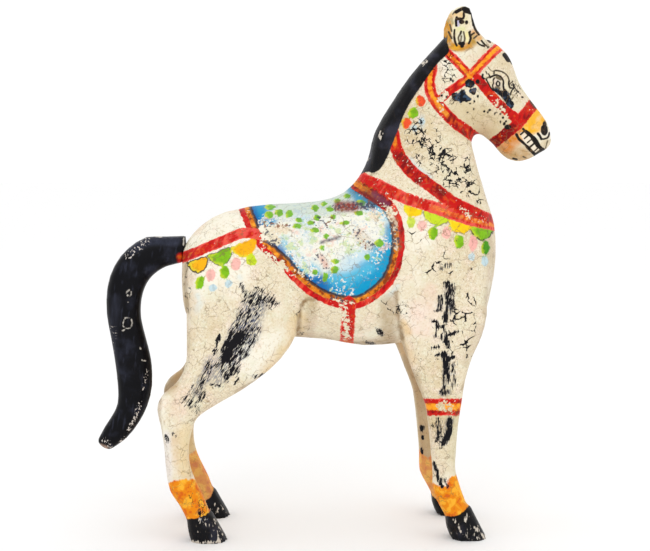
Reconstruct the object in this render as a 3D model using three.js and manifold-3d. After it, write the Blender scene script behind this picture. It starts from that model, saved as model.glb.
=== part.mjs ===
// A carved and painted wooden horse that stands on its own four hooves.
// It is carved in one with its legs, ears and mane, and a separate carved tail butts against the rump.
// Lengths are in millimetres. +X is where the horse faces, +Z is up, and its sides face +Y and -Y.
// The origin is on the floor under the middle of the whole figure.
// The free forms are cross-sections along each limb, in hundredths of the figure's height.
// Each section spans an edge point "a" and an opposite edge point "b", both [x, z] as seen from the side.
import * as THREE from "three";
import { mergeVertices } from "three/addons/utils/BufferGeometryUtils.js";
import Module from "manifold-3d";

const wasm = await Module();
wasm.setup();

// Driving dimensions
const HEIGHT = 600; // floor to ear tips
const TAIL_JOINT_GAP = 0.3; // clear space between the tail's end and the rump
const HOOF_LEDGE = 1.2; // how far a hoof stands out around its pastern
const LEFT_STEP = 5; // how much further back the left foreleg stands than the right one
const EAR_CUP_DEPTH = 4; // how deep the ear is hollowed
const NOSTRIL_DEPTH = 2.5; // how deep a nostril is hollowed

const CREAM_PAINT = 0xeee0c0;
const BLACK_PAINT = 0x17161a;

const share = HEIGHT / 100; // one hundredth of the height, in mm

// How each limb is cut: corners around it, rings for each section, roundness (1 is an ellipse, less is
// boxier), and how far its first and last ends are rounded out, in hundredths of the height.
const TRUNK_CUT = { sides: 30, steps: 2, roundness: 1, domes: [0.3, 0.8] };
const LEG_CUT = { sides: 14, steps: 2, roundness: 0.85, domes: [2, 0] };
const HOOF_CUT = { sides: 16, steps: 2, roundness: 0.8, domes: [0, 0] };
const MANE_CUT = { sides: 12, steps: 2, roundness: 1, domes: [0.5, 0.5] };
const EAR_CUT = { sides: 12, steps: 2, roundness: 1, domes: [0, 1.2] };
const TAIL_CUT = { sides: 16, steps: 2, roundness: 0.85, domes: [0, 0.9] };
const DOME_ANGLES = [0.45, 0.9, 1.3]; // where a rounded end has its rings, in radians
const HOLLOW_SIDES = 12;
const WELD = 1e-4; // points nearer than this are one point

// Trunk, neck and head in one run, from the rump to the lips: a is the topline, b the underline.
// half is half the thickness from side to side, and slim narrows the section towards a.
const TRUNK = [
  { at: "dock", a: [-27.0, 54.4], b: [-27.2, 46.5], half: 4.6, slim: 0.1 },
  { at: "rump end", a: [-26.1, 56.1], b: [-26.6, 42.0], half: 8.0, slim: 0.1 },
  { at: "buttock", a: [-23.6, 58.9], b: [-24.0, 39.2], half: 10.3, slim: 0.1 },
  { at: "croup", a: [-18.8, 61.5], b: [-18.0, 37.8], half: 11.5, slim: 0.1 },
  { at: "loin", a: [-9.6, 63.0], b: [-8.0, 37.5], half: 11.3, slim: 0.05 },
  { at: "back", a: [-1.0, 63.5], b: [0.0, 37.0], half: 11.5, slim: 0.05 },
  { at: "girth", a: [3.4, 65.0], b: [7.5, 35.7], half: 11.7, slim: 0.1 },
  { at: "withers", a: [6.4, 68.0], b: [15.0, 36.2], half: 11.5, slim: 0.2 },
  { at: "brisket", a: [8.2, 71.6], b: [22.5, 36.8], half: 11.4, slim: 0.3 },
  { at: "breast", a: [9.2, 75.4], b: [29.2, 38.9], half: 11.2, slim: 0.4 },
  { at: "breast point", a: [11.0, 79.4], b: [31.6, 45.5], half: 10.7, slim: 0.5 },
  { at: "neck root", a: [13.6, 83.4], b: [32.6, 52.5], half: 9.8, slim: 0.5 },
  { at: "lower neck", a: [16.4, 86.8], b: [32.2, 58.8], half: 8.5, slim: 0.5 },
  { at: "mid neck", a: [18.8, 89.7], b: [30.4, 64.4], half: 7.2, slim: 0.45 },
  { at: "upper neck", a: [20.9, 91.8], b: [28.7, 69.6], half: 6.2, slim: 0.4 },
  { at: "throat", a: [22.9, 93.2], b: [27.7, 74.0], half: 5.4, slim: 0.3 },
  { at: "poll", a: [26.5, 94.2], b: [28.4, 75.9], half: 5.3, slim: 0.15 },
  { at: "crown", a: [31.0, 93.9], b: [29.2, 76.2], half: 5.5, slim: 0.1 },
  { at: "brow", a: [34.3, 91.5], b: [30.2, 75.8], half: 5.6, slim: 0.05 },
  { at: "eye", a: [35.7, 88.7], b: [31.2, 75.0], half: 5.2, slim: 0.05 },
  { at: "face", a: [36.9, 85.8], b: [32.2, 74.1], half: 4.5, slim: 0.1 },
  { at: "nose", a: [38.9, 82.8], b: [33.6, 72.5], half: 4.0, slim: 0.1 },
  { at: "noseband", a: [40.7, 80.6], b: [35.2, 71.3], half: 3.8, slim: 0.05 },
  { at: "nostril", a: [42.2, 78.5], b: [37.2, 71.0], half: 3.8, slim: 0.0 },
  { at: "lips", a: [42.9, 76.6], b: [39.2, 71.6], half: 3.4, slim: 0.0 },
  { at: "lip end", a: [42.9, 75.4], b: [41.0, 72.7], half: 2.7, slim: 0.0 },
];

// Legs from the shoulder or hip down to the pastern: a is the front edge, b the back edge, y the centre line.
const FORELEG = [
  { at: "shoulder", a: [26.0, 56.0], b: [19.0, 56.0], half: 2.8, y: 7.2 },
  { at: "upper arm", a: [29.2, 49.5], b: [15.4, 50.0], half: 3.9, y: 7.5 },
  { at: "elbow", a: [30.3, 42.8], b: [13.8, 43.5], half: 4.2, y: 7.4 },
  { at: "arm", a: [29.3, 38.6], b: [14.0, 37.6], half: 4.2, y: 7.6 },
  { at: "forearm", a: [27.5, 34.4], b: [15.3, 34.0], half: 3.9, y: 7.8 },
  { at: "low forearm", a: [26.1, 30.2], b: [16.9, 29.8], half: 3.4, y: 8.2 },
  { at: "knee", a: [25.5, 25.9], b: [18.5, 25.6], half: 3.0, y: 8.5 },
  { at: "below knee", a: [24.8, 21.8], b: [19.1, 21.6], half: 2.7, y: 8.6 },
  { at: "cannon", a: [24.4, 16.6], b: [19.7, 16.6], half: 2.4, y: 8.7 },
  { at: "above fetlock", a: [24.3, 13.4], b: [20.0, 12.4], half: 2.4, y: 8.7 },
  { at: "fetlock", a: [25.0, 10.8], b: [20.1, 9.0], half: 2.6, y: 8.7 },
  { at: "pastern", a: [26.1, 7.6], b: [21.2, 6.6], half: 2.5, y: 8.7 },
  { at: "coronet", a: [27.0, 5.4], b: [22.9, 3.6], half: 2.6, y: 8.7 },
];
const HINDLEG = [
  { at: "hip", a: [-11.0, 55.0], b: [-22.0, 55.0], half: 2.6, y: 6.6 },
  { at: "upper thigh", a: [-6.4, 49.5], b: [-25.4, 49.5], half: 3.9, y: 7.4 },
  { at: "thigh", a: [-4.9, 44.0], b: [-26.2, 44.2], half: 4.4, y: 7.1 },
  { at: "stifle", a: [-5.4, 39.2], b: [-26.2, 38.8], half: 4.7, y: 7.0 },
  { at: "low thigh", a: [-8.4, 34.5], b: [-26.3, 34.5], half: 4.3, y: 7.6 },
  { at: "gaskin", a: [-13.2, 30.3], b: [-27.0, 31.8], half: 3.8, y: 8.0 },
  { at: "low gaskin", a: [-18.3, 27.2], b: [-28.4, 29.7], half: 3.4, y: 8.3 },
  { at: "above hock", a: [-22.0, 25.1], b: [-30.6, 28.0], half: 3.1, y: 8.6 },
  { at: "hock", a: [-24.2, 23.4], b: [-31.8, 25.5], half: 3.0, y: 8.6 },
  { at: "below hock", a: [-25.2, 21.0], b: [-31.1, 22.0], half: 2.8, y: 8.7 },
  { at: "cannon", a: [-25.9, 17.6], b: [-30.5, 17.8], half: 2.5, y: 8.7 },
  { at: "above fetlock", a: [-25.5, 13.6], b: [-30.2, 13.2], half: 2.5, y: 8.7 },
  { at: "fetlock", a: [-24.4, 10.8], b: [-29.5, 9.5], half: 2.7, y: 8.7 },
  { at: "pastern", a: [-23.0, 8.0], b: [-27.8, 7.0], half: 2.5, y: 8.7 },
  { at: "coronet", a: [-21.9, 4.6], b: [-26.2, 3.4], half: 2.6, y: 8.7 },
];

// Hooves from the coronet to the flat sole.
const FORE_HOOF = [
  { at: "coronet", a: [27.1, 6.0], b: [22.7, 4.3], half: 2.6, y: 8.7 },
  { at: "wall", a: [28.6, 3.1], b: [22.9, 2.2], half: 2.9, y: 8.7 },
  { at: "sole", a: [30.2, 0], b: [23.8, 0], half: 3.0, y: 8.7 },
];
const HIND_HOOF = [
  { at: "coronet", a: [-21.8, 5.3], b: [-26.2, 4.1], half: 2.6, y: 8.7 },
  { at: "wall", a: [-20.4, 2.8], b: [-26.0, 2.1], half: 2.9, y: 8.7 },
  { at: "sole", a: [-18.9, 0], b: [-25.5, 0], half: 3.0, y: 8.7 },
];

// The mane is a thick rounded ridge along the crest: a is its outer edge, b its edge down the neck.
const MANE = [
  { at: "lower end", a: [8.0, 70.0], b: [9.9, 68.9], half: 3.5 },
  { at: "above end", a: [8.5, 72.5], b: [11.9, 71.0], half: 4.1 },
  { at: "low", a: [9.4, 76.5], b: [13.2, 74.6], half: 4.1 },
  { at: "middle", a: [12.5, 81.8], b: [15.6, 79.6], half: 3.9 },
  { at: "high", a: [16.0, 87.0], b: [18.9, 84.6], half: 3.6 },
  { at: "upper", a: [19.6, 91.2], b: [22.0, 88.6], half: 3.3 },
  { at: "forelock", a: [22.6, 94.4], b: [24.8, 91.8], half: 2.4 },
];

// An ear is a tall leaf, hollowed on its outer side: a is its front edge, b its back edge.
const EAR = [
  { at: "root", a: [30.5, 87.5], b: [23.5, 87.5], half: 1.5, y: 1.8 },
  { at: "seat", a: [31.4, 91.4], b: [22.8, 91.2], half: 1.7, y: 2.0 },
  { at: "base", a: [30.2, 93.8], b: [22.6, 93.6], half: 1.8, y: 2.4 },
  { at: "waist", a: [28.4, 95.7], b: [22.7, 95.5], half: 1.7, y: 2.8 },
  { at: "blade", a: [27.7, 97.6], b: [23.1, 97.5], half: 1.4, y: 3.1 },
  { at: "point", a: [27.2, 98.9], b: [23.7, 98.8], half: 1.1, y: 3.3 },
];
// Hollows: centre, and radii seen from the side, in hundredths of the height; lean turns them about Y.
const EAR_CUP = { x: 25.4, z: 95.7, long: 3.3, wide: 1.6, lean: 0 };
const NOSTRIL = { x: 41.6, z: 77.3, long: 1.2, wide: 0.7, lean: -0.15 };
const NOSTRIL_SET = 0.8; // its distance from the middle plane, as a share of the muzzle's half thickness

// The tail, from its end at the rump to its tip: a is the outer edge, b the edge that faces the legs.
const TAIL = [
  { at: "end at the rump", a: [-26.6, 56.9], b: [-26.6, 51.9], half: 2.4 },
  { at: "root", a: [-30.4, 56.8], b: [-30.4, 51.0], half: 2.5 },
  { at: "arch", a: [-34.0, 56.7], b: [-32.7, 49.5], half: 2.6 },
  { at: "shoulder", a: [-37.6, 54.5], b: [-34.0, 47.9], half: 2.7 },
  { at: "bend", a: [-40.2, 51.2], b: [-34.8, 46.0], half: 2.7 },
  { at: "upper hang", a: [-41.6, 47.1], b: [-35.2, 43.9], half: 2.7 },
  { at: "hang", a: [-41.8, 42.0], b: [-35.2, 41.0], half: 2.7 },
  { at: "waist", a: [-41.1, 37.6], b: [-34.4, 37.4], half: 2.7 },
  { at: "swell", a: [-40.4, 33.0], b: [-33.4, 33.0], half: 2.7 },
  { at: "low swell", a: [-39.9, 28.0], b: [-33.3, 28.0], half: 2.6 },
  { at: "turn", a: [-40.0, 24.6], b: [-34.2, 24.2], half: 2.5 },
  { at: "brush", a: [-40.9, 22.5], b: [-35.8, 21.0], half: 2.4 },
  { at: "low brush", a: [-42.4, 20.2], b: [-38.4, 17.7], half: 2.1 },
  { at: "tip", a: [-43.7, 17.8], b: [-41.1, 15.8], half: 1.5 },
];

// A smooth run through one value of every section; t goes from 0 to 1 along the limb.
function run(sections, pick) {
  const points = sections.map((section) => new THREE.Vector3(...pick(section)));
  return new THREE.CatmullRomCurve3(points, false, "centripetal");
}

// One cross-section as a closed ring of points around the line from a to b.
function ring(a, b, half, y, slim, sides, roundness) {
  const middle = a.clone().add(b).multiplyScalar(0.5);
  const reach = a.clone().sub(b).multiplyScalar(0.5);
  const points = [];
  for (let i = 0; i < sides; i++) {
    const turn = (2 * Math.PI * i) / sides;
    const [along, across] = [Math.cos(turn), Math.sin(turn)];
    const up = Math.sign(along) * Math.abs(along) ** roundness;
    const out = Math.sign(across) * Math.abs(across) ** roundness * (1 - slim * up);
    const point = middle.clone().addScaledVector(reach, up);
    point.y = y + half * out;
    points.push(point);
  }
  return points;
}

// A ring drawn in towards its middle and moved along the limb, as one step of a rounded end.
function domeRing(points, middle, outward, depth, angle) {
  return points.map((point) =>
    point.clone().sub(middle).multiplyScalar(Math.cos(angle)).add(middle)
      .addScaledVector(outward, depth * Math.sin(angle)),
  );
}

function middleOf(points) {
  const sum = new THREE.Vector3();
  points.forEach((point) => sum.add(point));
  return sum.multiplyScalar(1 / points.length);
}

// A closed mesh through a list of rings with the same number of points, closed flat at both ends.
function skin(rings) {
  const sides = rings[0].length;
  const points = rings.flat();
  const faces = [];
  for (let r = 0; r + 1 < rings.length; r++) {
    for (let i = 0; i < sides; i++) {
      const j = (i + 1) % sides;
      const [p, q] = [r * sides + i, r * sides + j];
      faces.push(p, q, q + sides, p, q + sides, p + sides);
    }
  }
  const [first, last] = [points.length, points.length + 1];
  points.push(middleOf(rings[0]), middleOf(rings.at(-1)));
  const lastRing = (rings.length - 1) * sides;
  for (let i = 0; i < sides; i++) {
    const j = (i + 1) % sides;
    faces.push(first, j, i, last, lastRing + i, lastRing + j);
  }
  const geometry = new THREE.BufferGeometry().setFromPoints(points);
  geometry.setIndex(faces);
  return geometry;
}

// A limb lofted through its sections. A dome of 0 leaves that end flat.
function limb(sections, { sides, steps, roundness, domes }) {
  const edgeA = run(sections, ({ a }) => [a[0] * share, 0, a[1] * share]);
  const edgeB = run(sections, ({ b }) => [b[0] * share, 0, b[1] * share]);
  const girth = run(sections, ({ half, y = 0, slim = 0 }) => [half * share, y * share, slim]);
  const count = steps * (sections.length - 1);
  const rings = [];
  for (let s = 0; s <= count; s++) {
    const t = s / count;
    const { x: half, y, z: slim } = girth.getPoint(t);
    rings.push(ring(edgeA.getPoint(t), edgeB.getPoint(t), half, y, slim, sides, roundness));
  }
  return skin([
    ...dome(rings[0], rings[1], domes[0] * share).reverse(),
    ...rings,
    ...dome(rings.at(-1), rings.at(-2), domes[1] * share),
  ]);
}

// The rings that round off an end, from the end ring outwards; none for a flat end.
function dome(endRing, nextRing, depth) {
  if (depth === 0) return [];
  const middle = middleOf(endRing);
  const outward = middle.clone().sub(middleOf(nextRing)).normalize();
  return DOME_ANGLES.map((angle) => domeRing(endRing, middle, outward, depth, angle));
}

// A closed geometry as a solid, with its faces turned outwards.
function solid(geometry) {
  const bare = geometry.clone();
  bare.deleteAttribute("normal");
  bare.deleteAttribute("uv");
  const merged = mergeVertices(bare, WELD);
  const triVerts = new Uint32Array(merged.index.array);
  if (signedVolume(merged) < 0) {
    for (let i = 0; i < triVerts.length; i += 3) {
      [triVerts[i + 1], triVerts[i + 2]] = [triVerts[i + 2], triVerts[i + 1]];
    }
  }
  const vertProperties = merged.attributes.position.array;
  return new wasm.Manifold(new wasm.Mesh({ numProp: 3, vertProperties, triVerts }));
}

function signedVolume(geometry) {
  const [place, corners] = [geometry.attributes.position, geometry.index.array];
  const [p, q, r] = [new THREE.Vector3(), new THREE.Vector3(), new THREE.Vector3()];
  let six = 0;
  for (let i = 0; i < corners.length; i += 3) {
    p.fromBufferAttribute(place, corners[i]);
    q.fromBufferAttribute(place, corners[i + 1]);
    r.fromBufferAttribute(place, corners[i + 2]);
    six += p.dot(q.cross(r));
  }
  return six / 6;
}

// An egg-shaped cutter, centred on the surface that it hollows.
function egg({ x, z, long, wide, lean }, y, thick) {
  const geometry = new THREE.SphereGeometry(1, HOLLOW_SIDES, HOLLOW_SIDES / 2);
  geometry.scale(wide * share, thick, long * share);
  geometry.rotateY(lean);
  geometry.translate(x * share, y, z * share);
  return solid(geometry);
}

function mirrored(piece) {
  return piece.scale([1, -1, 1]);
}

// The piece mirrored to the right side, and as it is on the left side a step further back.
function bothSides(piece, step = 0) {
  return mirrored(piece).add(piece.translate([-step, 0, 0]));
}

// A hoof stands out around its pastern by the ledge, and its sole is flat on the floor.
function hoof(sections) {
  const ledge = HOOF_LEDGE / share;
  const wider = sections.map(({ a, b, half, y }) => ({
    a: [a[0] + ledge, a[1]],
    b: [b[0] - ledge, b[1]],
    half: half + ledge,
    y,
  }));
  return limb(wider, HOOF_CUT);
}

function leg(sections, hoofSections) {
  return solid(limb(sections, LEG_CUT)).add(solid(hoof(hoofSections)));
}

// The hollow of an ear opens away from the head, and its floor stays inside the ear's thickness.
function ear() {
  const blade = solid(limb(EAR, EAR_CUT));
  const cupSection = EAR.find(({ at }) => at === "waist");
  const outerFace = (cupSection.y + cupSection.half) * share;
  return blade.subtract(egg(EAR_CUP, outerFace, EAR_CUP_DEPTH));
}

function nostril() {
  const section = TRUNK.find(({ at }) => at === "nostril");
  return egg(NOSTRIL, section.half * share * NOSTRIL_SET, NOSTRIL_DEPTH);
}

function horse() {
  const trunk = solid(limb(TRUNK, TRUNK_CUT));
  const mane = solid(limb(MANE, MANE_CUT));
  const forelegs = bothSides(leg(FORELEG, FORE_HOOF), LEFT_STEP);
  const hindlegs = bothSides(leg(HINDLEG, HIND_HOOF));
  const whole = trunk.add(mane).add(forelegs).add(hindlegs).add(bothSides(ear()));
  return whole.subtract(bothSides(nostril()));
}

// The tail's end is cut to the shape of the rump, a joint gap away from it.
function tail(rump) {
  const reach = rump.translate([-TAIL_JOINT_GAP, 0, 0]);
  return solid(limb(TAIL, TAIL_CUT)).subtract(reach);
}

function namedMesh(name, piece, colour) {
  const { vertProperties, triVerts } = piece.getMesh();
  const geometry = new THREE.BufferGeometry();
  geometry.setAttribute("position", new THREE.BufferAttribute(vertProperties, 3));
  geometry.setIndex(new THREE.BufferAttribute(triVerts, 1));
  geometry.computeVertexNormals();
  const paint = new THREE.MeshStandardMaterial({ color: colour, roughness: 0.6, metalness: 0 });
  const mesh = new THREE.Mesh(geometry, paint);
  mesh.name = name;
  return mesh;
}

const carving = horse();
const brush = tail(carving);
const { min, max } = carving.add(brush).boundingBox();

const figure = new THREE.Group();
figure.add(namedMesh("horse", carving, CREAM_PAINT), namedMesh("tail", brush, BLACK_PAINT));
figure.position.set(-(min[0] + max[0]) / 2, 0, -min[2]);

export default figure;
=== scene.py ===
import bmesh
import bpy
import numpy as np
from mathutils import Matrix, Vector, noise


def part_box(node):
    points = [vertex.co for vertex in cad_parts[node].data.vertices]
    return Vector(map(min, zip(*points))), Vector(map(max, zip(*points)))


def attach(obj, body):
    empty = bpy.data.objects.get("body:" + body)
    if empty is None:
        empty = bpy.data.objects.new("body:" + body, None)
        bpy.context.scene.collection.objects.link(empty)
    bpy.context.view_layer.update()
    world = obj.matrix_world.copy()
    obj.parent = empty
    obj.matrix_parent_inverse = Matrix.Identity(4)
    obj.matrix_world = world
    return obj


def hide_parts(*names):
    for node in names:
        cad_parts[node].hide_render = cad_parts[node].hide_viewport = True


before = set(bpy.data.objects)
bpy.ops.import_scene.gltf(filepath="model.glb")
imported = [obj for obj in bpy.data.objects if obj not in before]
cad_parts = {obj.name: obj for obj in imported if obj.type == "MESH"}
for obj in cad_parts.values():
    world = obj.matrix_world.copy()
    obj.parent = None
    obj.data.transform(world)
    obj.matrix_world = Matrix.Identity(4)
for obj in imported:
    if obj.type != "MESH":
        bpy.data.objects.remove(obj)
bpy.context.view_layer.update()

# The view: from the horse's right side, 1.7 m away and a little above its back.
# The painted marks below are placed by where they are seen from here, in pixels of a 650 by 551 picture.
PICTURE = (650, 551)
EYE = Vector((-0.0573, -1.699, 0.48))
AIM = Vector((0.002, 0.0, 0.29507))
LENS, SENSOR = 82.295, 36.0  # mm

camera = bpy.data.objects.new("view", bpy.data.cameras.new("view"))
camera.location = EYE
camera.rotation_euler = (AIM - EYE).to_track_quat("-Z", "Y").to_euler()
camera.data.lens = LENS
camera.data.sensor_width = SENSOR
bpy.context.scene.collection.objects.link(camera)
bpy.context.scene.camera = camera


def seen_at(places):
    """The picture pixels where places on the horse's right side are seen."""
    turned = (places - np.array(EYE)) @ np.array(camera.rotation_euler.to_matrix())
    reach = LENS / SENSOR * PICTURE[0] / -turned[:, 2]
    return np.column_stack((PICTURE[0] / 2 + reach * turned[:, 0], PICTURE[1] / 2 - reach * turned[:, 1]))


# The carved body: trunk, neck, head, ears, mane, legs and hooves in one piece of wood, cut with knife and
# rasp and filled with gesso, so that the joints of the legs are rounded over and no tool marks are crisp.
CARVED_STEP = 0.0029  # m between the points of the carved surface
CUT_DEPTH, CUT_SIZE = 0.0005, 0.028  # m, how uneven the carving is, and over what distance
FORELEG_SETBACK = 0.005  # m, the left foreleg stands this much further back
GROOVE_DEPTH = 0.0016  # m
GROOVES = [  # where the legs stand out from the belly: strength, pixels, line
    (1.0, 3.6, [(396, 286), (397.5, 300), (398.5, 318), (402, 338)]),
    (1.0, 3.6, [(316, 300), (307, 300), (301.5, 306), (299, 320), (298, 337)]),
]
HEAD = (436, 4, 560, 166)  # pixels: left, top, right, bottom
EYE_AREA, MOUTH, EAR = (484, 67, 517, 94), (514, 119, 552, 158), (448, 7, 486, 50)
FAR = 30.0  # pixels: nothing reaches further than this from its own line


def fade(value, low, high):
    """0 up to low, 1 from high on, and a smooth rise between."""
    share = np.clip((value - low) / (high - low), 0, 1)
    return share * share * (3 - 2 * share)


def places_of(mesh):
    """The mesh's points as an array."""
    places = np.empty(len(mesh.vertices) * 3)
    mesh.vertices.foreach_get("co", places)
    return places.reshape(-1, 3)


def put(mesh, places):
    """Moves the mesh's points to these places."""
    mesh.vertices.foreach_set("co", places.ravel())
    mesh.update()


def normals_of(mesh):
    """The mesh's outward directions at its points."""
    normals = np.empty(len(mesh.vertices) * 3)
    mesh.vertices.foreach_get("normal", normals)
    return normals.reshape(-1, 3)


def carved_copy(node, name, step):
    """A copy of a CAD piece with an even, fine surface."""
    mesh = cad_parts[node].data.copy()
    shape = bmesh.new()
    shape.from_mesh(mesh)
    bmesh.ops.remove_doubles(shape, verts=shape.verts, dist=1e-6)
    shape.to_mesh(mesh)
    shape.free()
    mesh.materials.clear()
    piece = bpy.data.objects.new(name, mesh)
    bpy.context.scene.collection.objects.link(piece)
    even = piece.modifiers.new("even", "REMESH")
    even.mode = "VOXEL"
    even.voxel_size = step
    piece.data = bpy.data.meshes.new_from_object(piece.evaluated_get(bpy.context.evaluated_depsgraph_get()))
    piece.modifiers.clear()
    piece.data.shade_smooth()
    return piece


def rub_down(mesh, share, rounds, swell):
    """Smooths the surface where share is high. Each round may swell again, to keep the volume."""
    places = places_of(mesh)
    ends = np.empty(len(mesh.edges) * 2, int)
    mesh.edges.foreach_get("vertices", ends)
    one, other = ends.reshape(-1, 2).T
    total = np.bincount(ends, minlength=len(places))
    for _ in range(rounds):
        for pull in ((0.5, -0.52) if swell else (0.5,)):
            around = np.column_stack([
                np.bincount(one, places[other, axis], len(places))
                + np.bincount(other, places[one, axis], len(places))
                for axis in range(3)
            ]) / total[:, None]
            places = places + (around - places) * (share * pull)[:, None]
    put(mesh, places)


def folded(places):
    """Both sides laid on the right one, with the left foreleg brought forward to match."""
    twin = places.copy()
    left_leg = (twin[:, 1] > 0) & (twin[:, 0] > 0.06)
    twin[:, 0] += FORELEG_SETBACK * left_leg * (1 - fade(twin[:, 2], 0.21, 0.27))
    twin[:, 1] = -np.abs(twin[:, 1])
    return twin


def refine(mesh, area, side):
    """Halves every edge that is seen inside the area, on the right side, -1, or on the left, 1."""
    shape = bmesh.new()
    shape.from_mesh(mesh)
    places = np.array([point.co for point in shape.verts])
    at = seen_at(folded(places))
    inside = (at[:, 0] > area[0]) & (at[:, 1] > area[1]) & (at[:, 0] < area[2]) & (at[:, 1] < area[3])
    inside &= places[:, 1] * side > -CARVED_STEP
    edges = [e for e in shape.edges if inside[e.verts[0].index] and inside[e.verts[1].index]]
    bmesh.ops.subdivide_edges(shape, edges=edges, cuts=1, use_grid_fill=True)
    shape.to_mesh(mesh)
    shape.free()


def drawn(points, closed=False):
    """A smooth hand-drawn line through a few points."""
    points = np.array(points, float)
    if len(points) == 2:
        return points
    if closed:
        ring = np.vstack((points[-1], points, points[:2]))
    else:
        ring = np.vstack((points[0], points, points[-1]))
    line = []
    for before, start, end, after in zip(ring, ring[1:], ring[2:], ring[3:]):
        for share in np.linspace(0, 1, 5, endpoint=False):
            line.append(0.5 * (2 * start + (end - before) * share
                               + (2 * before - 5 * start + 4 * end - after) * share ** 2
                               + (3 * start - before - 3 * end + after) * share ** 3))
    line.append(ring[-2])
    return np.array(line)


def from_line(spot, points, closed=False):
    """Each spot's distance from a drawn line, less than 0 on one side of it, and its share along it."""
    line = drawn(points, closed)
    best, along = np.full(len(spot), FAR), np.zeros(len(spot))
    close = np.all((spot > line.min(0) - FAR) & (spot < line.max(0) + FAR), axis=1)
    near, nearest, share, side = spot[close], best[close], along[close], np.ones(close.sum())
    for index, (start, end) in enumerate(zip(line, line[1:])):
        step = end - start
        part = np.clip((near - start) @ step / max(step @ step, 1e-9), 0, 1)
        gap = np.linalg.norm(near - start - part[:, None] * step, axis=1)
        closer = gap < nearest
        nearest = np.where(closer, gap, nearest)
        share = np.where(closer, (index + part) / (len(line) - 1), share)
        side = np.where(closer, np.sign((near - start) @ (-step[1], step[0])), side)
    best[close], along[close] = nearest * side, share
    return best, along


def blots(spot, strokes):
    """Soft blots along strokes: each is (strength, radius, points), and the strongest counts."""
    total = np.zeros(len(spot))
    for strength, radius, points in strokes:
        total = np.maximum(total, strength * (1 - fade(np.abs(from_line(spot, points)[0]) / radius, 0.25, 1)))
    return total


body = carved_copy("horse", "carved_body", CARVED_STEP)
y, z = places_of(body.data)[:, 1:].T
seams = fade(z, 0.265, 0.315) * (1 - fade(z, 0.37, 0.42)) * fade(np.abs(y), 0.018, 0.034)
rub_down(body.data, seams, 50, False)
firm = 1 - 0.7 * fade(z, 0.552, 0.562) - 0.6 * (1 - fade(z, 0.035, 0.055))
rub_down(body.data, firm * fade(z, 0.001, 0.006), 17, True)
for area, side in [(HEAD, -1), (EYE_AREA, -1), (MOUTH, -1), (EAR, -1), (EYE_AREA, 1), (MOUTH, 1), (EAR, 1)]:
    refine(body.data, area, side)
places = places_of(body.data)
rub_down(body.data, 0.8 * fade(places[:, 2], 0.42, 0.43), 3, True)
places = places_of(body.data)
uneven = np.array([noise.noise(Vector(place) / CUT_SIZE) for place in places])
uneven *= fade(places[:, 2], 0.0, 0.03) * CUT_DEPTH
outward = normals_of(body.data)[:, 1] * np.sign(places[:, 1])
uneven -= GROOVE_DEPTH * blots(seen_at(folded(places)), GROOVES) * fade(outward, 0.1, 0.5)
put(body.data, places + normals_of(body.data) * uneven[:, None])

places = places_of(body.data)
spot = seen_at(folded(places))
outward = normals_of(body.data)[:, 1] * np.sign(places[:, 1])
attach(body, "root")
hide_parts("horse")

# The ground: gesso and aged cream paint over the whole horse, yellowed in places and crazed all over into
# cells of about a centimetre, with the black under-paint in the widest cracks.
CREAM, PALE_CREAM, OLD_CREAM = (232, 220, 193), (244, 239, 223), (214, 194, 154)
WARM_CREAM, COOL_CREAM, STAIN = (246, 226, 208), (226, 226, 198), (172, 144, 104)
CELL, SMALL_CELL = 0.0125, 0.0072  # m across one cell of crazed paint
PATCH, BLUSH, FLECK, PRICK = 0.11, 0.017, 0.0026, 0.0016  # m across the spots of tint, broad to fine
CRACK_STRAY, CRACK_BEND = 0.008, 0.00625  # m that a crack strays from its cell's edge, and over what length
BRUSH_STRAY, BRUSH_BEND = 3.2, 0.0045  # pixels that a brush stroke's edge strays, and over how many metres


def ink(red, green, blue):
    """A screen colour, 0 to 255, as the shader takes it."""
    screen = [part / 255 for part in (red, green, blue)]
    linear = [part / 12.92 if part < 0.04045 else ((part + 0.055) / 1.055) ** 2.4 for part in screen]
    return (*linear, 1.0)


def connect(made, inputs):
    """Gives a node its inputs, each a value or another node's socket."""
    for key, value in inputs.items():
        if isinstance(value, bpy.types.NodeSocket):
            tree.links.new(value, made.inputs[key])
        else:
            made.inputs[key].default_value = value


def node(kind, inputs, **settings):
    """A node with its inputs and settings, in the node tree of the paint that is being mixed."""
    made = tree.nodes.new("ShaderNode" + kind)
    for name, value in settings.items():
        setattr(made, name, value)
    connect(made, inputs)
    return made


def calc(operation, *values):
    return node("Math", dict(enumerate(values)), operation=operation).outputs[0]


def times(value, *others):
    for other in others:
        value = calc("MULTIPLY", value, other)
    return value


def rise(value, low, high):
    """0 where value is up to low, 1 from high on."""
    inputs = {"Value": value, "From Min": low, "From Max": high}
    return node("MapRange", inputs, interpolation_type="SMOOTHSTEP").outputs[0]


def over(under, colour, share):
    """Paint over what is there, where share is 1. Both are sockets or screen colours."""
    under, colour = (ink(*paint) if isinstance(paint, tuple) else paint for paint in (under, colour))
    return node("Mix", {0: share, 6: under, 7: colour}, data_type="RGBA").outputs[2]


def cloud(place, size, detail=3.0):
    """Noise with spots of this size in metres, about 0.3 to 0.7."""
    return node("TexNoise", {"Vector": place, "Scale": 1 / size, "Detail": detail}).outputs["Fac"]


def grains(place, size, detail=2.0):
    """Noise with spots of this size in metres, spread out to about 0 to 1."""
    return calc("MULTIPLY_ADD", cloud(place, size, detail), 3.2, -1.1)


def cells(place, size):
    """Distance to the nearest crack between cells, in cells."""
    inputs = {"Vector": place, "Scale": 1 / size}
    return node("TexVoronoi", inputs, feature="DISTANCE_TO_EDGE").outputs["Distance"]


def broken(strength, grain, low, high):
    """Where strength beats the grain, and nothing where there is no strength at all."""
    beaten = rise(calc("SUBTRACT", strength, grain), low, high)
    return times(beaten, rise(strength, 0.03, 0.2))


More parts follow.
